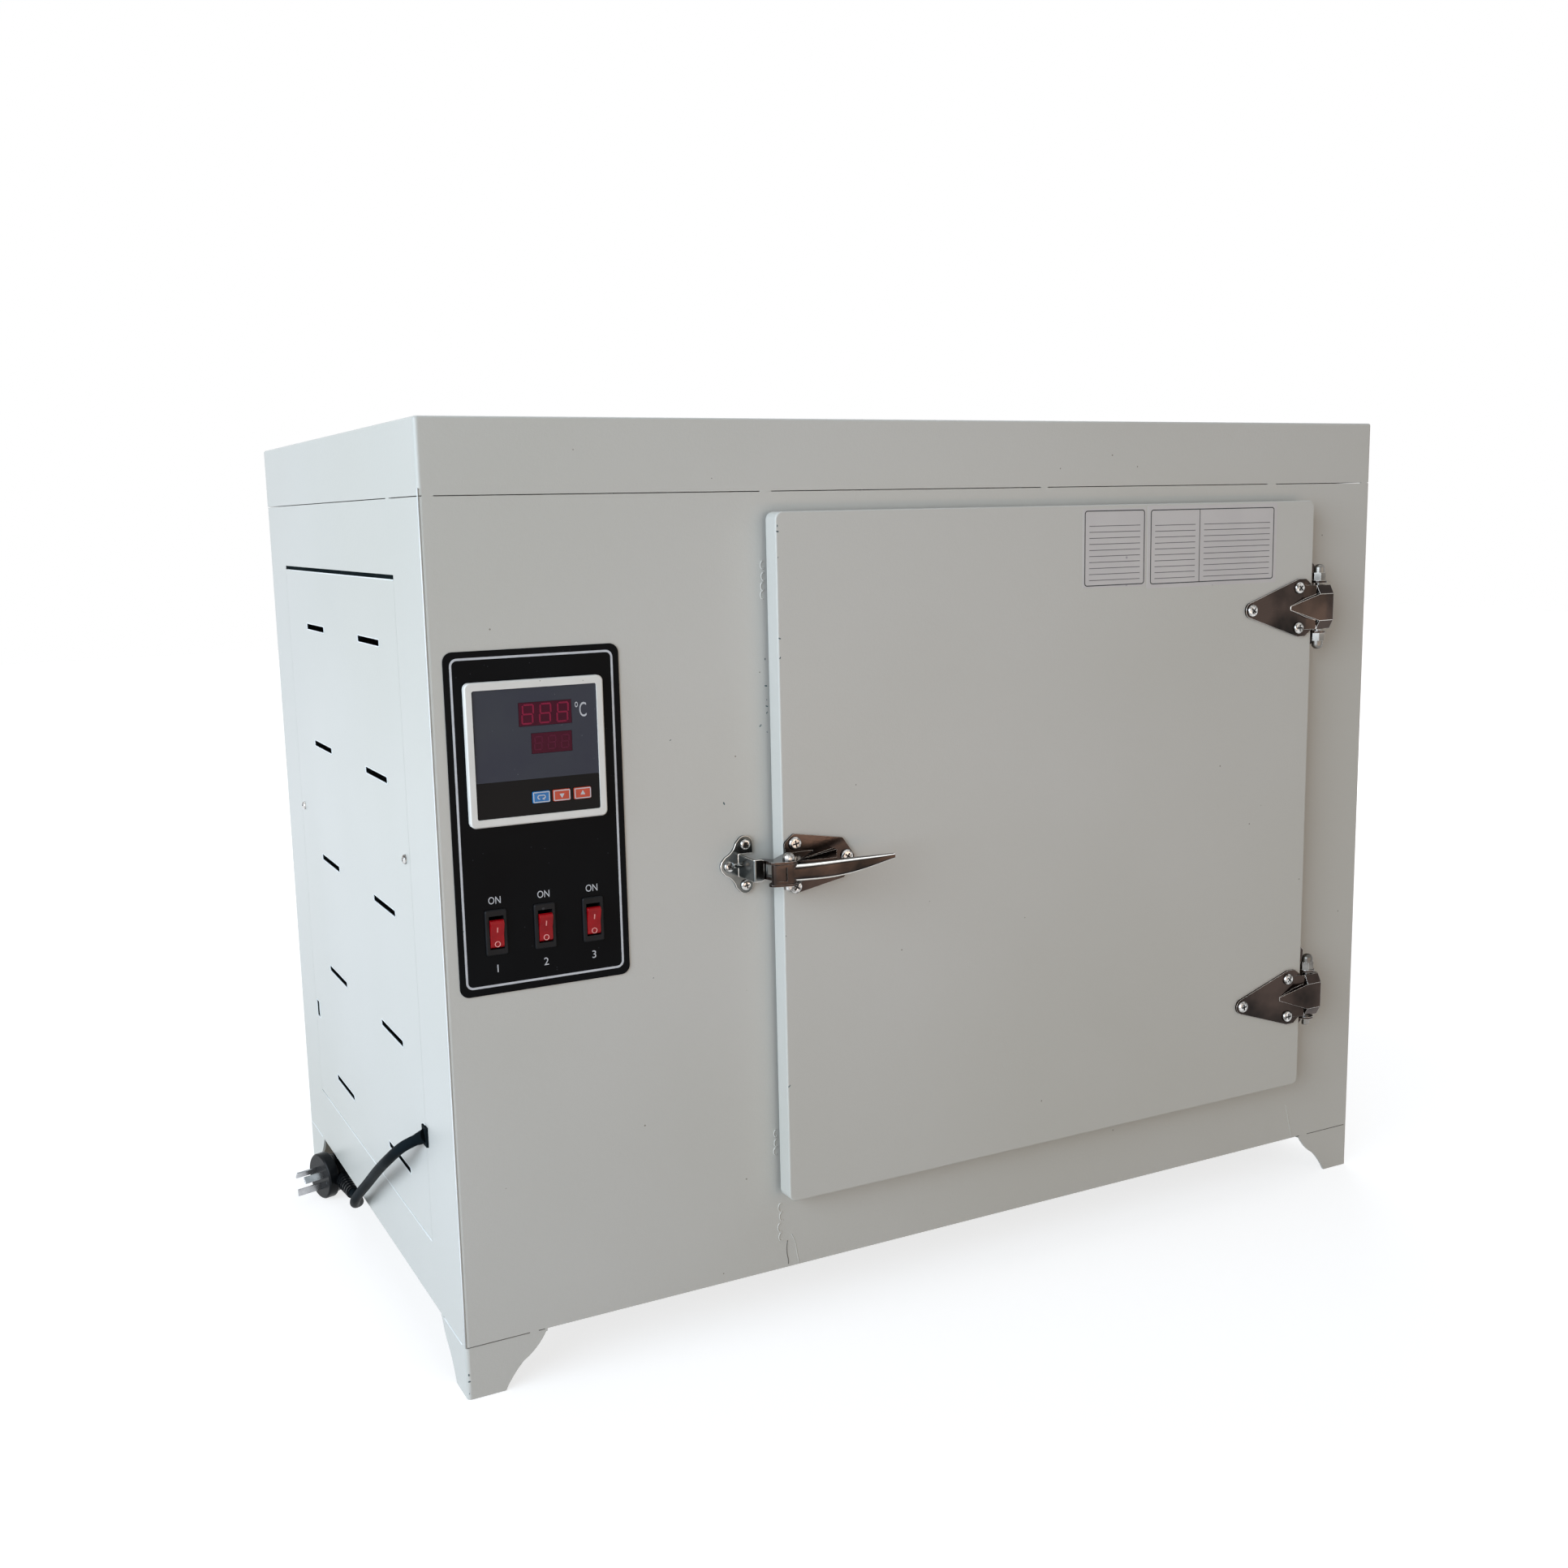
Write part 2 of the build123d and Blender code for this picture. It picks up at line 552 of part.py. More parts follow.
def side_panel():
    y = (PANEL_FRONT_Y + FIT, PANEL_REAR_Y - FIT)
    panel = block((0, SHEET), y, (PANEL_BOTTOM_Z + FIT, PANEL_TOP_Z))
    slot = RectangleRounded(SLOT_LENGTH, SLOT_HEIGHT, SLOT_RADIUS)
    for column in SLOT_COLUMNS_Y:
        for row in range(SLOT_ROWS):
            panel -= on_side(Pos(column, SLOT_TOP_Z - row * SLOT_PITCH) * slot, 0, SHEET)
    panel -= block((0, SHEET), NOTCH_FRONT_Y, NOTCH_Z)
    panel -= block((0, SHEET), NOTCH_REAR_Y, NOTCH_Z)
    for hole_y, hole_z in PANEL_SCREWS:
        panel -= rod((-1, hole_y, hole_z), (SHEET + 1, hole_y, hole_z), SCREW_HOLE_RADIUS)
    return panel


def foot_leaf():
    """The ogee outline of one leaf: across from the corner, then up."""
    top = Vector(FOOT_TOP_REACH, FOOT_HEIGHT)
    waist = Vector(*FOOT_WAIST)
    bottom = Vector(FOOT_BOTTOM_REACH, 0)

    def bowed(start, end, bulge):
        along = (end - start).normalized()
        across = Vector(-along.Y, along.X)
        return ThreePointArc(start, (start + end) / 2 + across * bulge, end)

    edge = [Line((0, 0), bottom), bowed(bottom, waist, FOOT_LOWER_BULGE),
            bowed(waist, top, -FOOT_UPPER_BULGE), Line(top, (0, FOOT_HEIGHT)), Line((0, FOOT_HEIGHT), (0, 0))]
    return make_face(Wire(edge))


def feet():
    leaf = foot_leaf()
    front = on_front(leaf, FOOT_SHEET, FOOT_SHEET)
    side = on_side(leaf, 0, FOOT_SHEET)
    flange = block((0, FOOT_TOP_REACH), (0, FOOT_TOP_REACH), (FOOT_HEIGHT - FOOT_SHEET, FOOT_HEIGHT))
    flange -= block((FOOT_FLANGE, FOOT_TOP_REACH), (FOOT_FLANGE, FOOT_TOP_REACH),
                    (FOOT_HEIGHT - FOOT_SHEET, FOOT_HEIGHT))
    foot = front + side + flange
    corner = foot.edges().filter_by(Axis.Z).sort_by_distance((0, 0, FOOT_HEIGHT / 2))[0]
    foot = fillet(corner, CORNER_RADIUS)
    right = mirror(foot, about=Plane.YZ.offset(CABINET_WIDTH / 2))
    rear_plane = Plane.XZ.offset(-CABINET_DEPTH / 2)
    return group([foot, right, mirror(foot, about=rear_plane), mirror(right, about=rear_plane)])


# Chamber and what is inside the cabinet


def chamber():
    x = CHAMBER_X
    z = (LINER_BOTTOM, MOUTH_Z[1])
    box = block(grown(x, LINER_SHEET), (SHEET, CHAMBER_BACK_Y + LINER_SHEET), grown(z, LINER_SHEET))
    reach = RIM_WIDTH + FLANGE_PAST_RIM
    flange = block(grown(x, reach), (SHEET, SHEET + LINER_SHEET), grown(z, reach))
    box += flange
    box -= block(x, (SHEET + LINER_SHEET, CHAMBER_BACK_Y), z)
    box -= block(x, (SHEET, SHEET + LINER_SHEET), MOUTH_Z)
    window = GRILLE_WINDOW / 2
    box -= block((x[0] - LINER_SHEET, x[0]), grown((FAN_Y, FAN_Y), window), grown((FAN_Z, FAN_Z), window))
    box -= on_plan(Pos(VENT_X, VENT_Y) * Circle(VENT_PIPE_RADIUS + FIT), z[1] - 1, LINER_SHEET + 2)
    outside = x[0] - LINER_SHEET - 1
    for y in HEATER_Y:
        for tube_y in (y, y + HEATER_GAP):
            box -= rod((outside, tube_y, HEATER_Z), (x[0] + 1, tube_y, HEATER_Z), STUD_RADIUS + FIT)
    box -= rod((outside, PROBE_Y, PROBE_Z), (x[0] + 1, PROBE_Y, PROBE_Z), STUD_RADIUS + FIT)
    return box


def cover_ledges():
    """The strips on the chamber's side walls that carry the heater cover."""
    left, right = CHAMBER_X
    y = (SHEET + LINER_SHEET, CHAMBER_BACK_Y)
    z = (COVER_Z[0] - LINER_SHEET, COVER_Z[0])
    return group([block(x, y, z) for x in ((left, left + RIM_WIDTH), (right - RIM_WIDTH, right))])


def insulation():
    outer = block((PARTITION_X + LINER_SHEET, CABINET_WIDTH - SHEET - FIT),
                  (SHEET + LINER_SHEET + FIT, CHAMBER_BACK_Y + REAR_WOOL),
                  (FOOT_HEIGHT + SHEET, CABINET_TOP - SHEET - FIT))
    liner = block(grown(CHAMBER_X, LINER_SHEET), (0, CHAMBER_BACK_Y + LINER_SHEET),
                  (LINER_BOTTOM - LINER_SHEET, MOUTH_Z[1] + LINER_SHEET))
    wool = outer - liner
    half = GRILLE_SIZE / 2
    wool -= block((PARTITION_X, CHAMBER_X[0]), (FAN_Y - half, FAN_Y + half), (FAN_Z - half, FAN_Z + half))
    wool -= on_plan(Pos(VENT_X, VENT_Y) * Circle(VENT_PIPE_RADIUS), MOUTH_Z[1], ABOVE_CHAMBER)
    start = CHAMBER_X[0] - LINER_SHEET - STUD_LENGTH - 2
    for y in HEATER_Y:
        for tube_y in (y, y + HEATER_GAP):
            wool -= rod((start, tube_y, HEATER_Z), (CHAMBER_X[0], tube_y, HEATER_Z), STUD_RADIUS + FIT)
    wool -= rod((start, PROBE_Y, PROBE_Z), (CHAMBER_X[0], PROBE_Y, PROBE_Z), STUD_RADIUS + FIT)
    return wool


def partition():
    wall = block((PARTITION_X, PARTITION_X + LINER_SHEET), (SHEET, CABINET_DEPTH - SHEET),
                 (FOOT_HEIGHT + SHEET, CABINET_TOP - SHEET))
    right_face = PARTITION_X + LINER_SHEET
    wall -= rod((PARTITION_X - 1, FAN_Y, FAN_Z), (right_face + 1, FAN_Y, FAN_Z), SHAFT_RADIUS + SHAFT_HOLE_GAP)
    return wall


def fan_casing():
    """A pan round the fan, open towards the chamber."""
    half = GRILLE_SIZE / 2 - FIT
    x = (PARTITION_X + LINER_SHEET, CHAMBER_X[0] - LINER_SHEET)
    pan = block(x, (FAN_Y - half, FAN_Y + half), (FAN_Z - half, FAN_Z + half))
    inner = half - LINER_SHEET
    pan -= block((x[0] + LINER_SHEET, x[1]), (FAN_Y - inner, FAN_Y + inner), (FAN_Z - inner, FAN_Z + inner))
    pan -= rod((x[0] - 1, FAN_Y, FAN_Z), (x[1], FAN_Y, FAN_Z), SHAFT_RADIUS + SHAFT_HOLE_GAP)
    return pan


def fan_wheel():
    """Back plate, hub and radial blades on the motor shaft."""
    back_x = PARTITION_X + 2 * LINER_SHEET + FAN_CLEARANCE
    disc = rod((back_x, FAN_Y, FAN_Z), (back_x + LINER_SHEET, FAN_Y, FAN_Z), FAN_RADIUS)
    hub = rod((back_x, FAN_Y, FAN_Z), (back_x + FAN_WIDTH, FAN_Y, FAN_Z), SHAFT_RADIUS + HUB_WALL)
    wheel = disc + hub
    for index in range(FAN_BLADES):
        blade = Pos(back_x + FAN_WIDTH / 2, (BLADE_START + FAN_RADIUS) / 2, 0) * Rot(FAN_BLADE_LEAN, 0, 0)
        blade = blade * Box(FAN_WIDTH, FAN_RADIUS - BLADE_START, LINER_SHEET)
        wheel += Pos(0, FAN_Y, FAN_Z) * Rot(360 / FAN_BLADES * index, 0, 0) * blade
    shaft = rod((PARTITION_X - SHAFT_IN_MOTOR, FAN_Y, FAN_Z), (back_x, FAN_Y, FAN_Z), SHAFT_RADIUS)
    return wheel + shaft


def fan_motor():
    rear = PARTITION_X - MOTOR_LENGTH
    body = rod((rear, FAN_Y, FAN_Z), (PARTITION_X, FAN_Y, FAN_Z), MOTOR_RADIUS)
    body = chamfer(body.faces().sort_by(Axis.X)[0].edges(), MOTOR_EDGE)
    plate = Pos(FAN_Y, FAN_Z) * RectangleRounded(MOTOR_FLANGE, MOTOR_FLANGE, MOTOR_FLANGE_CORNER)
    body += on_side(plate, PARTITION_X - MOTOR_FLANGE_THICK, MOTOR_FLANGE_THICK)
    bore_end = PARTITION_X - SHAFT_IN_MOTOR - 1
    body -= rod((bore_end, FAN_Y, FAN_Z), (PARTITION_X + 1, FAN_Y, FAN_Z), SHAFT_RADIUS + SHAFT_FIT)
    return body


def air_grille():
    """The slotted plate over the fan window, on the chamber's left wall."""
    half = GRILLE_SIZE / 2
    x = (CHAMBER_X[0], CHAMBER_X[0] + LINER_SHEET)
    plate = block(x, (FAN_Y - half, FAN_Y + half), (FAN_Z - half, FAN_Z + half))
    pitch = GRILLE_WINDOW / GRILLE_SLOTS
    for row in range(GRILLE_SLOTS):
        z = FAN_Z + (row - (GRILLE_SLOTS - 1) / 2) * pitch
        for side in (-1, 1):
            y = FAN_Y + side * (GRILLE_SLOT[0] / 2 + 6)
            plate -= block(x, (y - GRILLE_SLOT[0] / 2, y + GRILLE_SLOT[0] / 2),
                           (z - GRILLE_SLOT[1] / 2, z + GRILLE_SLOT[1] / 2))
    return plate


def heater_cover():
    """The slotted chamber floor over the heaters, resting on the ledges."""
    y = (SHEET + LINER_SHEET + FIT, CHAMBER_BACK_Y - FIT)
    plate = block(grown(CHAMBER_X, -FIT), y, COVER_Z)
    half_x, half_y = COVER_SLOT[0] / 2, COVER_SLOT[1] / 2
    for column in range(COVER_COLUMNS):
        for row in range(COVER_ROWS):
            x = CHAMBER_X[0] + CHAMBER_WIDTH * (column + 0.5) / COVER_COLUMNS
            slot_y = y[0] + (y[1] - y[0]) * (row + 0.5) / COVER_ROWS
            plate -= block((x - half_x, x + half_x), (slot_y - half_y, slot_y + half_y), COVER_Z)
    return plate


def heater(y):
    """One U-shaped tube heater with its two wall collars and studs."""
    wall = CHAMBER_X[0]
    stud_end = wall - LINER_SHEET - STUD_LENGTH
    near, far = wall + COLLAR_LENGTH, CHAMBER_X[1] - HEATER_END_GAP - HEATER_GAP / 2 - HEATER_RADIUS
    section = Plane(origin=(far, y, HEATER_Z), z_dir=(1, 0, 0)) * Circle(HEATER_RADIUS)
    tube = revolve(section, axis=Axis((far, y + HEATER_GAP / 2, HEATER_Z), (0, 0, 1)), revolution_arc=180)
    for tube_y in (y, y + HEATER_GAP):
        tube += rod((near, tube_y, HEATER_Z), (far, tube_y, HEATER_Z), HEATER_RADIUS)
        tube += rod((wall, tube_y, HEATER_Z), (near, tube_y, HEATER_Z), COLLAR_RADIUS)
        tube += rod((stud_end, tube_y, HEATER_Z), (wall, tube_y, HEATER_Z), STUD_RADIUS)
    return tube


def temperature_probe():
    wall = CHAMBER_X[0]
    stud_end = wall - LINER_SHEET - STUD_LENGTH
    probe = rod((stud_end, PROBE_Y, PROBE_Z), (wall + PROBE_LENGTH, PROBE_Y, PROBE_Z), STUD_RADIUS)
    return probe + rod((wall, PROBE_Y, PROBE_Z), (wall + COLLAR_LENGTH, PROBE_Y, PROBE_Z), COLLAR_RADIUS)


def rail_z(index):
    return RAIL_FIRST_Z + index * RAIL_PITCH


def shelf_support(side):
    """Two upright bars and their rails on one chamber wall."""
    wall = CHAMBER_X[0] if side > 0 else CHAMBER_X[1]
    near_y = SHELF_FRONT_Y + (SHELF_DEPTH - RAIL_LENGTH) / 2
    bar_z = (rail_z(0) - RAIL_BAR_BELOW, rail_z(RAIL_COUNT - 1) + RAIL_BAR_ABOVE)

    def across(low, high):
        return tuple(sorted((wall + side * low, wall + side * high)))

    rail_x = across(LINER_SHEET + 2 * FIT, RAIL_BAR_THICK + RAIL_WIDTH)
    rack = None
    for bar_y in (near_y, near_y + RAIL_LENGTH - RAIL_BAR_WIDTH):
        bar = block(across(0, RAIL_BAR_THICK), (bar_y, bar_y + RAIL_BAR_WIDTH), bar_z)
        rack = bar if rack is None else rack + bar
    for index in range(RAIL_COUNT):
        rack += block(rail_x, (near_y, near_y + RAIL_LENGTH), (rail_z(index) - RAIL_THICK, rail_z(index)))
    return rack


def shelf(rail_index):
    """A wire shelf: a rod frame with cross wires lying on it."""
    x = grown(CHAMBER_X, -RAIL_BAR_THICK - SHELF_SIDE_GAP - SHELF_ROD_RADIUS)
    y = (SHELF_FRONT_Y + SHELF_ROD_RADIUS, SHELF_FRONT_Y + SHELF_DEPTH - SHELF_ROD_RADIUS)
    z = rail_z(rail_index) + SHELF_ROD_RADIUS
    route = FilletPolyline((x[1], y[0], z), (x[1], y[1], z), (x[0], y[1], z), (x[0], y[0], z),
                           radius=3.5 * SHELF_ROD_RADIUS, close=True)
    frame = sweep(Plane(origin=route @ 0, z_dir=route % 0) * Circle(SHELF_ROD_RADIUS), path=route)
    for index in range(SHELF_WIRES):
        wire_x = x[0] + (x[1] - x[0]) * (index + 1) / (SHELF_WIRES + 1)
        wire_z = z + SHELF_ROD_RADIUS / 2
        frame += rod((wire_x, y[0], wire_z), (wire_x, y[1], wire_z), SHELF_WIRE_RADIUS)
    return frame


# Exhaust vent


def exhaust_pipe():
    ring = Circle(VENT_PIPE_RADIUS) - Circle(VENT_PIPE_RADIUS - VENT_PIPE_WALL)
    return on_plan(Pos(VENT_X, VENT_Y) * ring, MOUTH_Z[1], TOTAL_HEIGHT - MOUTH_Z[1])


def vent_plate(radius, low_z):
    plate = on_plan(Pos(VENT_X, VENT_Y) * Circle(radius), low_z, VENT_PLATE)
    for index in range(VENT_HOLES):
        angle = radians(360 / VENT_HOLES * index)
        centre = Pos(VENT_X + VENT_HOLE_CIRCLE * cos(angle), VENT_Y + VENT_HOLE_CIRCLE * sin(angle))
        plate -= on_plan(centre * Circle(VENT_HOLE_RADIUS), low_z, VENT_PLATE)
    return plate


def vent_collar():
    """The fixed holed plate with the rivet that the disc turns on."""
    top = TOTAL_HEIGHT + 2 * VENT_PLATE + FIT + VENT_KNOB_HEIGHT
    collar = vent_plate(VENT_COLLAR_RADIUS, TOTAL_HEIGHT)
    collar += on_plan(Pos(VENT_X, VENT_Y) * Circle(VENT_RIVET_RADIUS), TOTAL_HEIGHT, top + FIT - TOTAL_HEIGHT)
    head = Pos(VENT_X, VENT_Y) * Circle(VENT_RIVET_RADIUS + RIVET_HEAD_RIM)
    return collar + on_plan(head, top + FIT, RIVET_HEAD_THICK)


def vent_disc():
    low = TOTAL_HEIGHT + VENT_PLATE + FIT
    disc = vent_plate(VENT_DISC_RADIUS, low)
    knob = on_plan(Pos(VENT_X, VENT_Y) * Circle(VENT_KNOB_RADIUS), low + VENT_PLATE, VENT_KNOB_HEIGHT)
    wing = block(grown((VENT_X, VENT_X), VENT_WING[0] / 2), grown((VENT_Y, VENT_Y), VENT_WING[1] / 2),
                 (low + VENT_PLATE, low + VENT_PLATE + VENT_WING[2]))
    wing = Pos(VENT_X, VENT_Y, 0) * Rot(0, 0, 180 / VENT_HOLES) * Pos(-VENT_X, -VENT_Y, 0) * wing
    disc += knob + wing
    bore = Pos(VENT_X, VENT_Y) * Circle(VENT_RIVET_RADIUS + PIN_FIT)
    return disc - on_plan(bore, low, VENT_PLATE + VENT_KNOB_HEIGHT)


# Door


def door_seal():
    outer = rounded(grown(CHAMBER_X, SEAL_MARGIN + SEAL_WIDTH), grown(MOUTH_Z, SEAL_MARGIN + SEAL_WIDTH),
                    SEAL_MARGIN + SEAL_WIDTH)
    inner = rounded(grown(CHAMBER_X, SEAL_MARGIN), grown(MOUTH_Z, SEAL_MARGIN), SEAL_MARGIN)
    strip = on_front(outer - inner, 0, -DOOR_BACK_Y - SEAL_GAP)
    crown = strip.faces().sort_by(Axis.Y)[0].edges()
    return chamfer(crown, (-DOOR_BACK_Y - SEAL_GAP) * 0.4)


def door_shell():
    outline = rounded(DOOR_X, DOOR_Z, DOOR_CORNER)
    skin = on_front(outline, DOOR_BACK_Y, DOOR_BACK_Y - DOOR_FACE_Y)
    skin = fillet(skin.faces().sort_by(Axis.Y)[0].edges(), DOOR_EDGE)
    pocket = rounded(grown(DOOR_X, -DOOR_SHEET), grown(DOOR_Z, -DOOR_SHEET), DOOR_CORNER - DOOR_SHEET)
    skin -= on_front(pocket, DOOR_BACK_Y, DOOR_BACK_Y - DOOR_FACE_Y - DOOR_SHEET)
    for x, z in leaf_screw_places() + latch_screw_places():
        skin -= front_hole(x, z, DOOR_FACE_Y - 1, DOOR_FACE_Y + DOOR_SHEET + 1)
    return skin


def door_liner():
    """The inner pan: a flange inside the shell and a step into the mouth."""
    inset = DOOR_SHEET + FIT
    flange = rounded(grown(DOOR_X, -inset), grown(DOOR_Z, -inset), DOOR_CORNER - inset)
    pan = on_front(flange, DOOR_BACK_Y, DOOR_SHEET)
    step_x, step_z = grown(CHAMBER_X, -PLUG_CLEARANCE), grown(MOUTH_Z, -PLUG_CLEARANCE)
    step = block(step_x, (DOOR_BACK_Y, PLUG_DEPTH), step_z)
    step = chamfer(step.faces().sort_by(Axis.Y)[-1].edges(), PLUG_CHAMFER)
    pan += step
    hollow = block(grown(step_x, -DOOR_SHEET), (DOOR_BACK_Y - DOOR_SHEET, PLUG_DEPTH - DOOR_SHEET),
                   grown(step_z, -DOOR_SHEET))
    hollow = chamfer(hollow.faces().sort_by(Axis.Y)[-1].edges(), PLUG_CHAMFER)
    return pan - hollow


def door_insulation():
    front = DOOR_FACE_Y + 2 * DOOR_SHEET
    x = grown(grown(CHAMBER_X, -PLUG_CLEARANCE), -DOOR_SHEET)
    z = grown(grown(MOUTH_Z, -PLUG_CLEARANCE), -DOOR_SHEET)
    wool = block(x, (front, PLUG_DEPTH - DOOR_SHEET), z)
    return chamfer(wool.faces().sort_by(Axis.Y)[-1].edges(), PLUG_CHAMFER)


# Hinges


def leaf_screw_places():
    places = []
    for centre_z in (HINGE_TOP_Z, HINGE_BOTTOM_Z):
        places.append((DOOR_X[1] - LEAF_TIP_REACH, centre_z))
        for side in (-1, 1):
            places.append((DOOR_X[1] - LEAF_WIDE_REACH, centre_z + side * LEAF_SCREW_RISE))
    return places


def face_ramp(x, near, far):
    """A pressed ramp on the door face between two x, from a near to a far section.

    Each section has its low and high z and how far it stands out of the face.
    """
    sections = []
    for place, (low, high, out) in zip(x, (near, far)):
        centre = Pos(DOOR_FACE_Y - out / 2, (low + high) / 2)
        sections.append(Plane.YZ.offset(place) * (centre * Rectangle(out, high - low)))
    return loft(sections)


def hinge_leaf(centre_z):
    """A three-screw leaf on the door face, pressed out into the knuckle that goes round the pin."""
    circles = Pos(DOOR_X[1] - LEAF_TIP_REACH, centre_z) * Circle(LEAF_TIP_RADIUS)
    for across, rise in LEAF_CORNERS:
        for side in (-1, 1):
            circles += Pos(DOOR_X[1] + across, centre_z + side * rise) * Circle(LEAF_CORNER_RADIUS)
    leaf = on_front(make_hull(circles.edges()), DOOR_FACE_Y, LEAF_THICK)
    front, side_front = PIN_Y - KNUCKLE_FRONT, PIN_Y - KNUCKLE_SIDE_FRONT
    rear = PIN_Y + KNUCKLE_REAR
    half = KNUCKLE_HALF_HEIGHT
    x = (DOOR_X[1] + FIT, PIN_X + KNUCKLE_FRONT)
    leaf += face_ramp((DOOR_X[1] - RIB_REACH, x[0]),
                      (centre_z - RIB_START_HALF, centre_z + RIB_START_HALF, LEAF_THICK + FIT),
                      (centre_z - RIB_HALF_HEIGHT, centre_z + RIB_HALF_HEIGHT, DOOR_FACE_Y - front))
    leaf += face_ramp((DOOR_X[1] - RAMP_REACH, x[0]), (centre_z - half, centre_z + half, LEAF_THICK),
                      (centre_z - half, centre_z + half, DOOR_FACE_Y - side_front))
    outline = [(rear, half), (side_front, half), (front, RIB_HALF_HEIGHT)]
    outline += [(y, -rise) for y, rise in reversed(outline)]
    knuckle = on_side(Pos(0, centre_z) * make_face(Polyline(*outline, close=True)), x[0], x[1] - x[0])
    outer = knuckle.faces().sort_by(Axis.X)[-1].edges().filter_by(lambda edge: edge.center().Y < PIN_Y)
    knuckle = fillet(outer, KNUCKLE_WALL)
    wall = KNUCKLE_WALL
    hollow = [(rear + 1, half - wall), (side_front + wall / 2, half - wall),
              (front + wall, RIB_HALF_HEIGHT - wall / 2)]
    hollow += [(y, -rise) for y, rise in reversed(hollow)]
    inside = Pos(0, centre_z) * make_face(Polyline(*hollow, close=True))
    knuckle -= on_side(inside, x[0] - 1, x[1] - x[0] + 1 - wall)
    leaf += knuckle
    reach = half + 1
    leaf -= rod((PIN_X, PIN_Y, centre_z - reach), (PIN_X, PIN_Y, centre_z + reach), PIN_RADIUS + PIN_FIT)
    for screw_x, screw_z in leaf_screw_places():
        if abs(screw_z - centre_z) < LEAF_HALF_HEIGHT:
            leaf -= front_hole(screw_x, screw_z, DOOR_FACE_Y - LEAF_THICK - 1, DOOR_FACE_Y + 1)
    return leaf


def hinge_bracket(centre_z):
    """A plate on the cabinet front with the two lugs that hold the pin."""
    plate = block(BRACKET_X, (-BRACKET_THICK, 0), (centre_z - BRACKET_DOWN, centre_z + BRACKET_UP))
    plate = chamfer(plate.edges().filter_by(Axis.Y), BRACKET_CORNER)
    middle_x = (BRACKET_X[0] + BRACKET_X[1]) / 2
    foot = Pos(middle_x, -BRACKET_THICK / 2) * Rectangle(BRACKET_WIDTH, BRACKET_THICK)
    outline = foot + Pos(PIN_X, PIN_Y) * Circle(LUG_RADIUS)
    lug = make_hull(outline.edges())
    for low in (centre_z + LUG_INNER, centre_z - LUG_INNER - LUG_THICK):
        plate += on_plan(lug, low, LUG_THICK)
    reach = LUG_INNER + LUG_THICK + 1
    plate -= rod((PIN_X, PIN_Y, centre_z - reach), (PIN_X, PIN_Y, centre_z + reach), PIN_RADIUS + PIN_FIT)
    for x, z in bracket_screw_places():
        if abs(z - centre_z) < BRACKET_UP:
            plate -= front_hole(x, z, -BRACKET_THICK - 1, 1)
    return plate


def hinge_pin(centre_z):
    reach = LUG_INNER + LUG_THICK + PIN_TAIL
    return rod((PIN_X, PIN_Y, centre_z - reach), (PIN_X, PIN_Y, centre_z + reach), PIN_RADIUS)


def dome_nut(seat_z, way):
    """A domed nut on a pin end, seated on a lug: way is 1 upward and -1 downward."""
    seat = Plane(origin=(PIN_X, PIN_Y, seat_z), z_dir=(0, 0, way))
    nut = extrude(seat * RegularPolygon(NUT_RADIUS, 6), amount=NUT_HEIGHT)
    dome = extrude(seat.offset(NUT_HEIGHT) * Circle(NUT_DOME_RADIUS), amount=NUT_DOME)
    crown = dome.faces().sort_by(Axis(seat.origin, seat.z_dir))[-1].edges()
    nut += fillet(crown, NUT_DOME_RADIUS * 0.85)
    bore_end = seat.origin + Vector(0, 0, way * (PIN_TAIL + FIT))
    return nut - rod((PIN_X, PIN_Y, seat_z), tuple(bore_end), PIN_RADIUS + PIN_FIT)


# Latch


def carve(first, second, radius):
    """The circle that hollows the edge between two lobes of the keeper."""
    a, b = Vector(*first), Vector(*second)
    along = (b - a).normalized()
    outward = Vector(-along.Y, along.X)
    if outward.X > 0:
        outward = outward * -1
    centre = (a + b) / 2 + outward * (radius + KEEPER_CARVE_RADIUS - KEEPER_CARVE_DEPTH)
    return Pos(TONGUE_X + centre.X, LATCH_Z + centre.Y) * Circle(KEEPER_CARVE_RADIUS)


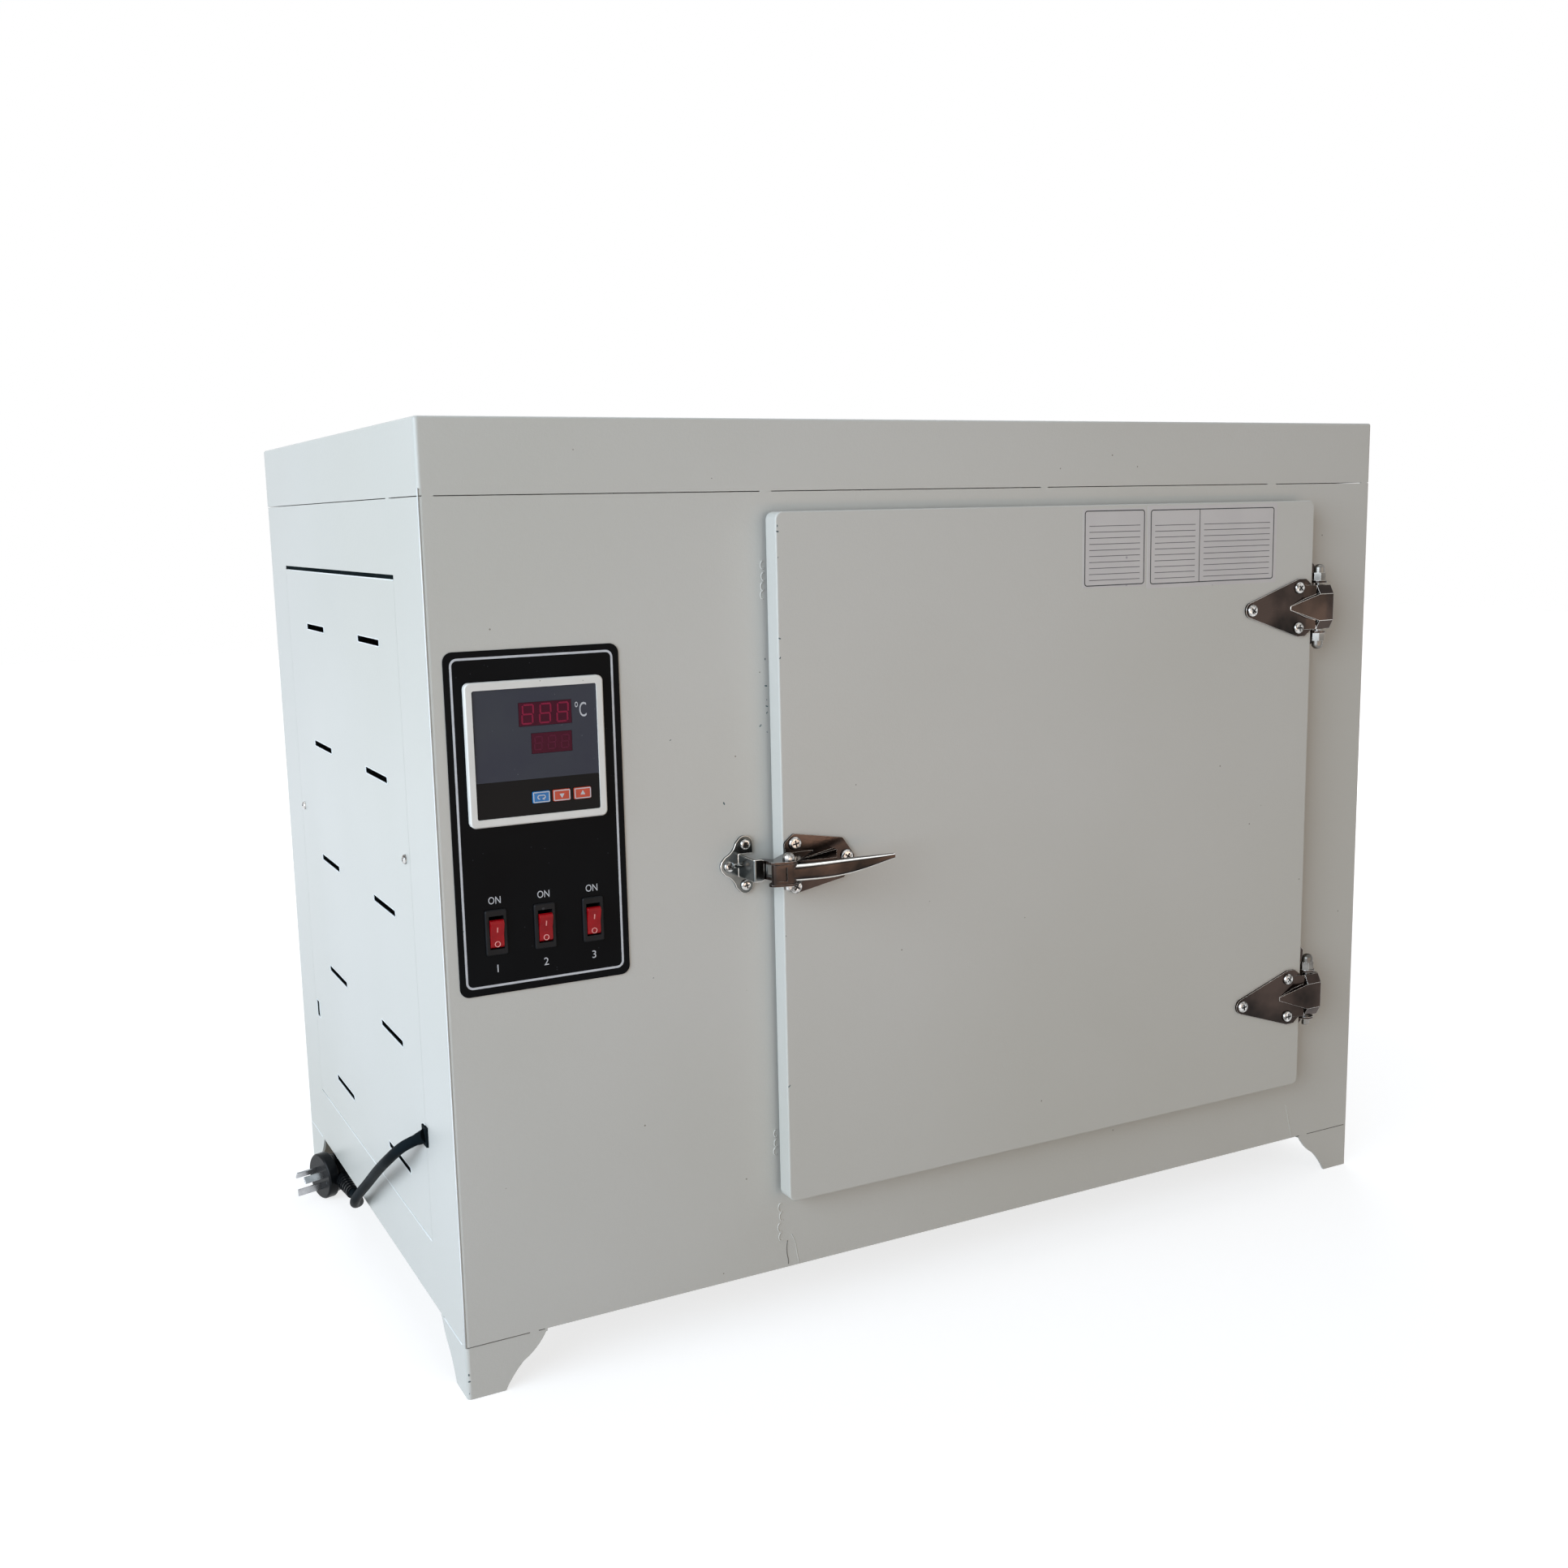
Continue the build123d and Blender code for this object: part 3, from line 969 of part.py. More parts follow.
def latch_keeper():
    """A three-lobed plate with a bent-out tongue and a lip that holds the catch pin."""
    lobes = Pos(TONGUE_X + KEEPER_TIP[0], LATCH_Z + KEEPER_TIP[1]) * Circle(KEEPER_TIP_RADIUS)
    for across, rise in (KEEPER_UPPER, KEEPER_LOWER):
        lobes += Pos(TONGUE_X + across, LATCH_Z + rise) * Circle(KEEPER_LOBE_RADIUS)
    outline = make_hull(lobes.edges())
    middle_radius = (KEEPER_TIP_RADIUS + KEEPER_LOBE_RADIUS) / 2
    for corner in (KEEPER_UPPER, KEEPER_LOWER):
        outline -= carve(KEEPER_TIP, corner, middle_radius)
    keeper = on_front(outline, 0, KEEPER_THICK)
    z = (LATCH_Z - TONGUE_HALF_WIDTH, LATCH_Z + TONGUE_HALF_WIDTH)
    lobe_right = TONGUE_X + KEEPER_UPPER[0] + KEEPER_LOBE_RADIUS
    keeper -= block((TONGUE_X, lobe_right + 1), (-KEEPER_THICK, 0), z)
    tongue_x = (TONGUE_X, TONGUE_X + TONGUE_THICK)
    tongue = block(tongue_x, (-TONGUE_REACH, 0), z)
    upper = [(TONGUE_X, TONGUE_HALF_WIDTH), (LIP_END - LIP_CORNER[0], TONGUE_HALF_WIDTH),
             (LIP_END, TONGUE_HALF_WIDTH - LIP_CORNER[1])]
    lower = [(x, -rise) for x, rise in reversed(upper)]
    lip = Pos(0, LATCH_Z) * make_face(Polyline(*upper, *lower, close=True))
    tongue += on_front(lip, TONGUE_THICK - TONGUE_REACH, TONGUE_THICK)
    bend = tongue.edges().filter_by(Axis.Z).sort_by_distance((TONGUE_X, -TONGUE_REACH, LATCH_Z))[0]
    keeper += fillet(bend, TONGUE_THICK * 0.8)
    corner = [(TONGUE_X, -KEEPER_THICK), (TONGUE_X - GUSSET[0], -KEEPER_THICK),
              (TONGUE_X, -KEEPER_THICK - GUSSET[1])]
    keeper += on_plan(make_face(Polyline(*corner, close=True)), LATCH_Z - GUSSET[2] / 2, GUSSET[2])
    for x, z in keeper_screw_places():
        keeper -= front_hole(x, z, -KEEPER_THICK - 1, 1)
    return keeper


def latch_screw_places():
    return [(DOOR_X[0] + across, LATCH_Z + rise) for across, rise in LATCH_SCREWS]


def latch_base():
    """The plate on the door with two ears for the lever and a pressed ramp behind it."""
    left = DOOR_X[0] + LATCH_PLATE_GAP
    corners = [(left + across, LATCH_Z + rise) for across, rise in LATCH_OUTLINE]
    outline = make_face(Polyline(*corners, close=True))
    outline = fillet(outline.vertices(), LATCH_OUTLINE_RADIUS)
    base = on_front(outline, DOOR_FACE_Y, LATCH_PLATE_THICK)
    plate_y = DOOR_FACE_Y - LATCH_PLATE_THICK
    low = LATCH_Z + LATCH_RAMP_LOW
    near, far = [(low, low + rise, LATCH_PLATE_THICK + out) for rise, out in (LATCH_RAMP_TIP, LATCH_RAMP_END)]
    base += face_ramp((left + LATCH_RAMP[0], left + LATCH_RAMP[1]), near, far)
    ear_foot = Pos(left + LATCH_EAR_LENGTH / 2, plate_y + 0.5) * Rectangle(LATCH_EAR_LENGTH, 1)
    ear_foot += Pos(PIVOT_X, PIVOT_Y) * Circle(EAR_BOSS_RADIUS)
    ear_foot += Pos(PIVOT_X + EAR_TIP[0], PIVOT_Y + EAR_TIP[1]) * Circle(EAR_TIP_RADIUS)
    ear = make_hull(ear_foot.edges())
    for low in (LATCH_Z + EAR_INNER, LATCH_Z - EAR_OUTER):
        base += on_plan(ear, low, LATCH_EAR_THICK)
    base -= rod((PIVOT_X, PIVOT_Y, LATCH_Z - EAR_OUTER - 1), (PIVOT_X, PIVOT_Y, LATCH_Z + EAR_OUTER + 1),
                PIVOT_RADIUS + PIVOT_FIT)
    for x, z in latch_screw_places():
        base -= front_hole(x, z, plate_y - 1, DOOR_FACE_Y + 1)
    return base


def latch_pivot():
    """The lever's pin, with a domed head above the ears and a flat nut below."""
    low, high = LATCH_Z - EAR_OUTER, LATCH_Z + EAR_OUTER
    pin = rod((PIVOT_X, PIVOT_Y, low), (PIVOT_X, PIVOT_Y, high), PIVOT_RADIUS)
    head = on_plan(Pos(PIVOT_X, PIVOT_Y) * Circle(DOME_RADIUS), high, DOME_HEIGHT)
    head = fillet(head.faces().sort_by(Axis.Z)[-1].edges(), DOME_RADIUS * 0.8)
    nut = on_plan(Pos(PIVOT_X, PIVOT_Y) * Circle(PIVOT_NUT_RADIUS), low - PIVOT_NUT_HEIGHT, PIVOT_NUT_HEIGHT)
    return pin + head + nut


def lever_section(x, y, z, depth, height, turn):
    """A rounded section of the handle: depth runs front to rear."""
    plane = Plane(origin=(x, y, z), x_dir=(sin(radians(turn)), cos(radians(turn)), 0),
                  z_dir=(cos(radians(turn)), -sin(radians(turn)), 0))
    return plane * RectangleRounded(depth, height, min(depth, height) * 0.32)


def latch_lever():
    """A cast lever: boss round the pivot, tapering handle and two cheeks that carry the catch pin."""
    z = LATCH_Z
    height = 2 * LEVER_HALF_HEIGHT
    front = Pos(PIVOT_X, PIVOT_Y) * Circle(LEVER_BOSS_RADIUS)
    front += Pos(PIVOT_X + BLOCK_TIP[0], PIVOT_Y + BLOCK_TIP[1]) * Circle(BLOCK_TIP_RADIUS)
    boss = on_plan(make_hull(front.edges()), z - LEVER_HALF_HEIGHT, height)
    pocket_x = PIVOT_X + BLOCK_POCKET_FROM_PIVOT
    boss -= block((pocket_x, pocket_x + BLOCK_POCKET[0]), (PIVOT_Y - 2 * LEVER_BOSS_RADIUS, BLOCK_POCKET_Y),
                  grown((z, z), BLOCK_POCKET[1] / 2))
    neck = [lever_section(PIVOT_X + right, PIVOT_Y - front, z + rise, depth, height - less, turn)
            for right, front, rise, depth, less, turn in LEVER_SECTIONS]
    lever = boss + loft(neck)
    arm = Pos(PIVOT_X, PIVOT_Y) * Circle(LEVER_BOSS_RADIUS - CHEEK_STEP)
    arm += Pos(CATCH_X, CATCH_Y) * Circle(CATCH_CHEEK_RADIUS)
    cheek = make_hull(arm.edges())
    for low in (z - LEVER_HALF_HEIGHT, z + LEVER_HALF_HEIGHT - CATCH_CHEEK):
        lever += on_plan(cheek, low, CATCH_CHEEK)
    reach = LEVER_HALF_HEIGHT + 1
    lever -= rod((PIVOT_X, PIVOT_Y, z - reach), (PIVOT_X, PIVOT_Y, z + reach), PIVOT_RADIUS + PIVOT_FIT)
    return lever


def latch_catch():
    """The round pin between the lever's cheeks that hooks behind the keeper's lip."""
    half = LEVER_HALF_HEIGHT - CATCH_CHEEK
    return rod((CATCH_X, CATCH_Y, LATCH_Z - half), (CATCH_X, CATCH_Y, LATCH_Z + half), CATCH_RADIUS)


# Controls


def label_plate():
    plate = on_front(rounded(LABEL_X, LABEL_Z, LABEL_RADIUS), 0, LABEL_THICK)
    plate -= on_front(Pos(*METER_CENTRE) * Rectangle(METER_CUTOUT, METER_CUTOUT), 0, LABEL_THICK)
    for x in SWITCH_X:
        plate -= on_front(Pos(x, SWITCH_Z) * Rectangle(*SWITCH_CUTOUT), 0, LABEL_THICK)
    return plate


def controller_case():
    """The instrument's body behind the panel."""
    outline = Pos(*METER_CENTRE) * RectangleRounded(METER_CASE, METER_CASE, METER_CASE_CORNER)
    return on_front(outline, METER_CASE_DEPTH, METER_CASE_DEPTH + LABEL_THICK)


def controller_bezel():
    """The square front with its recessed face, window pockets and key wells."""
    outline = Pos(*METER_CENTRE) * RectangleRounded(METER_SIZE, METER_SIZE, METER_RADIUS)
    body = on_front(outline, -LABEL_THICK, METER_PROUD)
    body = chamfer(body.faces().sort_by(Axis.Y)[0].edges(), METER_EDGE)
    recess = Pos(*METER_CENTRE) * RectangleRounded(*METER_FACE, METER_FACE_CORNER)
    body -= on_front(recess, FACE_Y, METER_RECESS)
    for width, height, x, z in (WINDOW_MAIN, WINDOW_SET):
        pocket = Pos(x, z) * Rectangle(width + 2 * KEY_GAP, height + 2 * KEY_GAP)
        body -= on_front(pocket, FACE_Y + WINDOW_THICK, WINDOW_THICK)
    well = (KEY_SIZE[0] + 2 * KEY_GAP, KEY_SIZE[1] + 2 * KEY_GAP)
    for x in KEY_X:
        body -= on_front(Pos(x, KEY_Z) * RectangleRounded(*well, KEY_WELL_CORNER), -LABEL_THICK, -FACE_Y)
    return body


def display_windows():
    panes = [on_front(Pos(x, z) * Rectangle(width, height), FACE_Y + WINDOW_THICK, WINDOW_THICK)
             for width, height, x, z in (WINDOW_MAIN, WINDOW_SET)]
    return group(panes)


def key(x):
    """A rubber key that stands proud of the face and can sink by its travel."""
    rear = -LABEL_THICK - KEY_TRAVEL - FIT
    front = FACE_Y - KEY_PROUD
    cap = on_front(Pos(x, KEY_Z) * RectangleRounded(*KEY_SIZE, KEY_CORNER), rear, rear - front)
    return chamfer(cap.faces().sort_by(Axis.Y)[0].edges(), KEY_EDGE)


def rocker_end_reach():
    """How far from its axis the end of a tilted rocker reaches, up or down."""
    rise = ROCKER_PIVOT_DEPTH + ROCKER_END_RISE
    lean = radians(ROCKER_TILT)
    return ROCKER_HALF_LENGTH * cos(lean) + rise * sin(lean)


def switch_body(x):
    """A rocker switch's bezel and housing, with the well that the rocker turns in."""
    housing = on_front(Pos(x, SWITCH_Z) * Rectangle(SWITCH_BODY[0], SWITCH_BODY[1]), SWITCH_BODY[2],
                       SWITCH_BODY[2] + LABEL_THICK)
    outline = Pos(x, SWITCH_Z) * RectangleRounded(*SWITCH_BEZEL, SWITCH_BEZEL_CORNER)
    bezel = on_front(outline, -LABEL_THICK, SWITCH_BEZEL_PROUD)
    bezel = chamfer(bezel.faces().sort_by(Axis.Y)[0].edges(), SWITCH_BEZEL_EDGE)
    half = rocker_end_reach() + ROCKER_END_GAP
    well_depth = SWITCH_BODY[2] - SWITCH_FLOOR
    opening = Pos(x, SWITCH_Z) * Rectangle(ROCKER_WIDTH + 2 * ROCKER_SIDE_GAP, 2 * half)
    body = housing + bezel - on_front(opening, well_depth, well_depth + LABEL_THICK + SWITCH_BEZEL_PROUD + 1)
    reach = ROCKER_WIDTH / 2 + TRUNNION_LENGTH + TRUNNION_END_GAP
    radius = TRUNNION_RADIUS + TRUNNION_FIT
    return body - rod((x - reach, ROCKER_Y, SWITCH_Z), (x + reach, ROCKER_Y, SWITCH_Z), radius)


def rocker(x):
    """A rocker tilted to its on side, on two trunnions."""
    half = ROCKER_HALF_LENGTH
    end_y = -LABEL_THICK - ROCKER_END_RISE
    middle_y = -LABEL_THICK - ROCKER_MIDDLE_RISE
    end_back_y, root_y = end_y + ROCKER_END_DEPTH, ROCKER_Y + ROCKER_ROOT_DEPTH
    outline = [(end_y, half), (middle_y, 0), (end_y, -half), (end_back_y, -half), (root_y, -ROCKER_ROOT_HALF),
               (root_y, ROCKER_ROOT_HALF), (end_back_y, half)]
    section = Pos(0, SWITCH_Z) * make_face(Polyline(*outline, close=True))
    level = on_side(section, x - ROCKER_WIDTH / 2, ROCKER_WIDTH)
    reach = ROCKER_WIDTH / 2 + TRUNNION_LENGTH
    level += rod((x - reach, ROCKER_Y, SWITCH_Z), (x + reach, ROCKER_Y, SWITCH_Z), TRUNNION_RADIUS)
    return Pos(0, ROCKER_Y, SWITCH_Z) * Rot(ROCKER_TILT, 0, 0) * Pos(0, -ROCKER_Y, -SWITCH_Z) * level


def terminal_block():
    """The mains terminals on the compartment floor behind the notch."""
    x, y = TERMINAL_CORNER
    width, depth, height = TERMINAL_BASE
    low = FOOT_HEIGHT + SHEET
    base = block((x, x + width), (y, y + depth), (low, low + height))
    post_y = grown((y + depth / 2, y + depth / 2), TERMINAL_POST[1] / 2)
    post_z = (low + height, low + height + TERMINAL_POST[2])
    for index in range(TERMINAL_COUNT):
        post_x = x + width * (index + 0.5) / TERMINAL_COUNT
        base += block(grown((post_x, post_x), TERMINAL_POST[0] / 2), post_y, post_z)
    return base


def relay():
    """The heater relay on a heat sink whose fins stand on the partition."""
    y, z = SINK_CORNER
    sink_z = (z, z + SINK_SIZE[1])
    plate_x = (PARTITION_X - SINK_FIN[0] - SINK_PLATE, PARTITION_X - SINK_FIN[0])
    sink = block(plate_x, (y, y + SINK_SIZE[0]), sink_z)
    for index in range(SINK_FINS):
        fin_y = y + SINK_SIZE[0] * (index + 0.5) / SINK_FINS
        sink += block((plate_x[1], PARTITION_X), grown((fin_y, fin_y), SINK_FIN[1] / 2), sink_z)
    middle_y, middle_z = y + SINK_SIZE[0] / 2, z + SINK_SIZE[1] / 2
    housing = block((plate_x[0] - RELAY_SIZE[0], plate_x[0]), grown((middle_y, middle_y), RELAY_SIZE[1] / 2),
                    grown((middle_z, middle_z), RELAY_SIZE[2] / 2))
    return sink + chamfer(housing.edges().filter_by(Axis.X), RELAY_EDGE)


# Mains lead


def bend_radii(route):
    """The radius of each corner: 0.45 of its shorter run over the tangent of half the turn."""
    radii = []
    for before, at, after in zip(route, route[1:], route[2:]):
        first = Vector(*at) - Vector(*before)
        second = Vector(*after) - Vector(*at)
        turn = radians(first.get_angle(second))
        radii.append(0.45 * min(first.length, second.length) / tan(turn / 2))
    return radii


def heading(start, end):
    return (Vector(*end) - Vector(*start)).normalized()


def cord_grommet():
    """The rubber piece that fills the notch, with a short slanted boot for the lead."""
    y, z = grown(NOTCH_FRONT_Y, -FIT), grown(NOTCH_Z, -FIT)
    fill = block((-GROMMET_PROUD, 2 * SHEET), y, z)
    mouth = Plane(origin=CORD_POINTS[0], z_dir=heading(*CORD_POINTS[:2]))
    boot = loft([mouth.offset(-BOOT_LENGTH) * Circle(CORD_RADIUS + BOOT_ROOT_WALL),
                 mouth * Circle(CORD_RADIUS + BOOT_TIP_WALL)])
    inside = block((-FIT, BOOT_LENGTH), grown(NOTCH_FRONT_Y, BOOT_LENGTH), grown(NOTCH_Z, BOOT_LENGTH))
    return fill + (boot - inside)


def power_cord():
    radii = bend_radii(CORD_POINTS)
    path = FilletPolyline(*CORD_POINTS, radius=radii)
    tube = sweep(Plane(origin=path @ 0, z_dir=path % 0) * Circle(CORD_RADIUS), path=path)
    print("cord length", round(path.length, 1), "radii", [round(radius) for radius in radii])
    full = path.length * pi * CORD_RADIUS ** 2
    print("cord volume over section times length", round(tube.volume / full, 4))
    return tube


def plug_frame():
    """The plug's own frame: its z runs from the pin face into the body."""
    return Plane(origin=(PLUG_FACE_CENTRE[0], PLUG_FACE_CENTRE[1], PLUG_RADIUS), x_dir=(0, 0, 1),
                 z_dir=(PLUG_AXIS[0], PLUG_AXIS[1], 0))


def plug_body():
    frame = plug_frame()
    flange = extrude(frame * Circle(PLUG_RADIUS), amount=PLUG_FLANGE)
    flange = chamfer(flange.edges().filter_by(GeomType.CIRCLE), PLUG_FLANGE_EDGE)
    back = loft([frame.offset(PLUG_FLANGE - PLUG_BACK_INSIDE) * Circle(PLUG_BACK_RADIUS + PLUG_BACK_TAPER),
                 frame.offset(PLUG_BODY_DEPTH) * Circle(PLUG_BACK_RADIUS)])
    back = chamfer(back.faces().sort_by(Axis(frame.origin, frame.z_dir))[-1].edges(), PLUG_BACK_EDGE)
    return flange + back


def relief_plane():
    """Where the strain relief meets the lead, looking along the lead into the plug."""
    return Plane(origin=CORD_POINTS[-1], z_dir=heading(*CORD_POINTS[-2:]))


def plug_relief():
    """The ribbed strain relief between the lead and the side of the plug."""
    tip = relief_plane()
    length = PLUG_FACE_CENTRE[1] - CORD_POINTS[-1][1] - RELIEF_END_Y
    relief = loft([tip * Circle(RELIEF_TIP_RADIUS), tip.offset(length) * Circle(RELIEF_ROOT_RADIUS)])
    pitch = (length - RELIEF_PLAIN) / RELIEF_RIBS
    for index in range(RELIEF_RIBS):
        low = RELIEF_FIRST_RIB + index * pitch
        grown_by = (RELIEF_ROOT_RADIUS - RELIEF_TIP_RADIUS) * low / length
        radius = RELIEF_TIP_RADIUS + grown_by
        relief += extrude(tip.offset(low) * Circle(radius + RELIEF_RIB_RISE), amount=pitch * 0.5)
    return relief - plug_body()


def plug_pins():
    """Two slanted flat pins and a longer upright one."""
    frame = plug_frame()
    flat = Rectangle(PLUG_PIN_WIDTH, PLUG_PIN_THICK)
    pins = []
    for side in (-1, 1):
        place = Pos(PLUG_PIN_RISE, side * PLUG_PIN_SPREAD) * Rot(0, 0, -side * PLUG_PIN_SLANT)
        pins.append(extrude(frame * (place * flat), amount=-PLUG_PIN_LENGTH))
    earth = Pos(-EARTH_PIN_DROP, 0) * flat
    pins.append(extrude(frame * earth, amount=-EARTH_PIN_LENGTH))
    return group(pins)


# Assembly


def keys():
    return {"key_set": key(KEY_X[0]), "key_down": key(KEY_X[1]), "key_up": key(KEY_X[2])}


def main():
    parts = {
        "cabinet": cabinet(),
        "top_cover": top_cover(),
        "back_panel": back_panel(),
        "side_panel": side_panel(),
        "feet": feet(),
        "chamber": chamber(),
        "cover_ledges": cover_ledges(),
        "insulation": insulation(),
        "partition": partition(),
        "fan_casing": fan_casing(),
        "fan_motor": fan_motor(),
        "fan_wheel": fan_wheel(),
        "air_grille": air_grille(),
        "heater_cover": heater_cover(),
        "heaters": group([heater(y) for y in HEATER_Y]),
        "temperature_probe": temperature_probe(),
        "shelf_supports": group([shelf_support(1), shelf_support(-1)]),
        "shelf_lower": shelf(SHELF_RAILS[0]),
        "shelf_upper": shelf(SHELF_RAILS[1]),
        "terminal_block": terminal_block(),
        "relay": relay(),
        "exhaust_pipe": exhaust_pipe(),
        "vent_collar": vent_collar(),
        "vent_disc": vent_disc(),
        "door_seal": door_seal(),
        "door_shell": door_shell(),
        "door_liner": door_liner(),
        "door_insulation": door_insulation(),
        "hinge_leaf_top": hinge_leaf(HINGE_TOP_Z),
        "hinge_leaf_bottom": hinge_leaf(HINGE_BOTTOM_Z),
        "hinge_bracket_top": hinge_bracket(HINGE_TOP_Z),
        "hinge_bracket_bottom": hinge_bracket(HINGE_BOTTOM_Z),
        "hinge_pins": group([hinge_pin(HINGE_TOP_Z), hinge_pin(HINGE_BOTTOM_Z)]),
        "latch_keeper": latch_keeper(),
        "latch_base": latch_base(),
        "latch_pivot": latch_pivot(),
        "latch_lever": latch_lever(),
        "latch_catch": latch_catch(),
        "label_plate": label_plate(),
        "controller_case": controller_case(),
        "controller_bezel": controller_bezel(),
        "display_windows": display_windows(),
        "switch_bodies": group([switch_body(x) for x in SWITCH_X]),
        "cord_grommet": cord_grommet(),
        "power_cord": power_cord(),
        "plug_body": plug_body(),
        "plug_relief": plug_relief(),
        "plug_pins": plug_pins(),
    }
    parts.update(keys())
    for index, x in enumerate(SWITCH_X):
        parts[f"rocker_{index + 1}"] = rocker(x)
    lug_top = LUG_INNER + LUG_THICK
    parts["hinge_nuts"] = group([dome_nut(HINGE_TOP_Z + lug_top, 1), dome_nut(HINGE_TOP_Z - lug_top, -1),
                                 dome_nut(HINGE_BOTTOM_Z + lug_top, 1)])
    cabinet_screws = [screw((x, -KEEPER_THICK, z), (0, -1, 0)) for x, z in keeper_screw_places()]
    cabinet_screws += [screw((x, -BRACKET_THICK, z), (0, -1, 0)) for x, z in bracket_screw_places()]
    parts["cabinet_screws"] = group(cabinet_screws)
    parts["panel_screws"] = group([screw((0, y, z), (-1, 0, 0), PANEL_HEAD_RADIUS) for y, z in PANEL_SCREWS])
    rear = CABINET_DEPTH + BACK_SHEET
    back_screws = [screw((x, rear, z), (0, 1, 0), PANEL_HEAD_RADIUS) for x, z in back_screw_places()]
    parts["back_screws"] = group(back_screws)
    seats = [(x, DOOR_FACE_Y - LEAF_THICK, z) for x, z in leaf_screw_places()]
    seats += [(x, DOOR_FACE_Y - LATCH_PLATE_THICK, z) for x, z in latch_screw_places()]
    parts["door_screws"] = group([screw(seat, (0, -1, 0), DOOR_HEAD_RADIUS) for seat in seats])

    # The row's origin is under the middle of the oven's box, the lead and its plug apart
    on_the_lead = ("cord_grommet", "power_cord", "plug_body", "plug_relief", "plug_pins")
    oven = [Part(piece.wrapped) for name, piece in parts.items() if name not in on_the_lead]
    box = Compound(children=oven).bounding_box()
    shift = Pos(-(box.min.X + box.max.X) / 2, -(box.min.Y + box.max.Y) / 2, 0)
    for name, piece in parts.items():
        export_step(shift * piece, f"parts/{name}.step")
    offset = shift.position
    places = {"door pin": (PIN_X, PIN_Y, HINGE_TOP_Z), "lever pivot": (PIVOT_X, PIVOT_Y, LATCH_Z),
              "rocker axis": (SWITCH_X[0], ROCKER_Y, SWITCH_Z), "fan axis": (PARTITION_X, FAN_Y, FAN_Z),
              "vent axis": (VENT_X, VENT_Y, TOTAL_HEIGHT), "cabinet corner": (0, 0, 0)}
    for name, place in places.items():
        print(name, [round(value, 3) for value in Vector(*place) + offset])
    print("nodes", len(parts), "box", [round(value, 2) for value in box.size])


main()
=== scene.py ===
import json
from math import pi, radians, sin

import bpy
from mathutils import Matrix, Vector

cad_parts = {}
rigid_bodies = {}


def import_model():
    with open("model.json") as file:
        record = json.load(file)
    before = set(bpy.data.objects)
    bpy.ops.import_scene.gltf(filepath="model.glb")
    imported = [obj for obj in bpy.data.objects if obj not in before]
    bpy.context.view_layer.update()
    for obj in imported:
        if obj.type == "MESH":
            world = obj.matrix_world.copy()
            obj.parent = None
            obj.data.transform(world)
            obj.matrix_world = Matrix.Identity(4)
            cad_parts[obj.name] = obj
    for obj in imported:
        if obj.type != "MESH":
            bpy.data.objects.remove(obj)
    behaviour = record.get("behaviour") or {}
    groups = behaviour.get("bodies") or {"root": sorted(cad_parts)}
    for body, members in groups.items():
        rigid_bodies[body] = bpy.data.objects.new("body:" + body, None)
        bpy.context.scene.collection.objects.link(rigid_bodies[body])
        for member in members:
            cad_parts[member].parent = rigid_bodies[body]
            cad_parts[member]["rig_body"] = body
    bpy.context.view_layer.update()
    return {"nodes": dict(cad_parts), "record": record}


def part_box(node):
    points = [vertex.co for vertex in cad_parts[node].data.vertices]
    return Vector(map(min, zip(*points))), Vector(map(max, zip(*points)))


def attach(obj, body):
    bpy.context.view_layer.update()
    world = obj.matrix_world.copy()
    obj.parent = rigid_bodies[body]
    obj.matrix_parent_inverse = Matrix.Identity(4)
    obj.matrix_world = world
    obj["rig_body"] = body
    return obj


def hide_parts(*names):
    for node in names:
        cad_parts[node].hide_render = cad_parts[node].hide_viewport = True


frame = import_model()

# Places and sizes are millimetres from the cabinet's left front corner on the floor, as in the CAD source.
# at() turns such a place into the frame's metres.
MM = 0.001
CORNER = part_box("cabinet")[0]

# The photograph's camera
CAMERA_PLACE = (-280.9, -1039.4, 600.4)
CAMERA_YAW = 27.332
CAMERA_PITCH = 9.312
CAMERA_ROLL = -1.232
CAMERA_LENS = 37.66
CAMERA_SENSOR = 36

# Surround and floor, in metres
WHITE = (1, 1, 1, 1)
ROOM_TINT = (0.97, 0.98, 1.0, 1)
ROOM_STRENGTH = 0.2
FLOOR_SIZE = 14
FLOOR_Z = -0.0002
FLOOR_GREY = (0.42, 0.42, 0.42, 1)
FLOOR_FADE = (0.7, 2.2)
FLOOR_GLOW = (0.74, 1.0)

# Merging, sharp edges and shading, with angles in degrees
MERGE_WITHIN = 0.002
MERGE_NODE_WITHIN = 0.004
FLAT_WITHIN = 0.6
SHARP_ANGLE = 28
SMOOTH_ANGLE = 50
ALIGNED = 0.999
CORNER_STEPS = 6

# Mains lead from the notch to the plug
LEAD_POINTS = ((-4.5, 79.1, 164.4), (-10.5, 87.9, 158.9), (-14.6, 100.0, 150.6), (-16.6, 122.0, 136.6),
               (-16.0, 152.0, 119.6), (-14.0, 188.0, 99.2), (-12.6, 222.0, 78.8), (-12.5, 248.0, 63.0),
               (-12.2, 271.0, 48.0), (-8.6, 292.0, 35.6), (-1.5, 312.0, 27.4), (4.0, 330.0, 21.0),
               (3.6, 352.0, 20.4))
LEAD_RADIUS = 4.0
LEAD_SIDES = 8

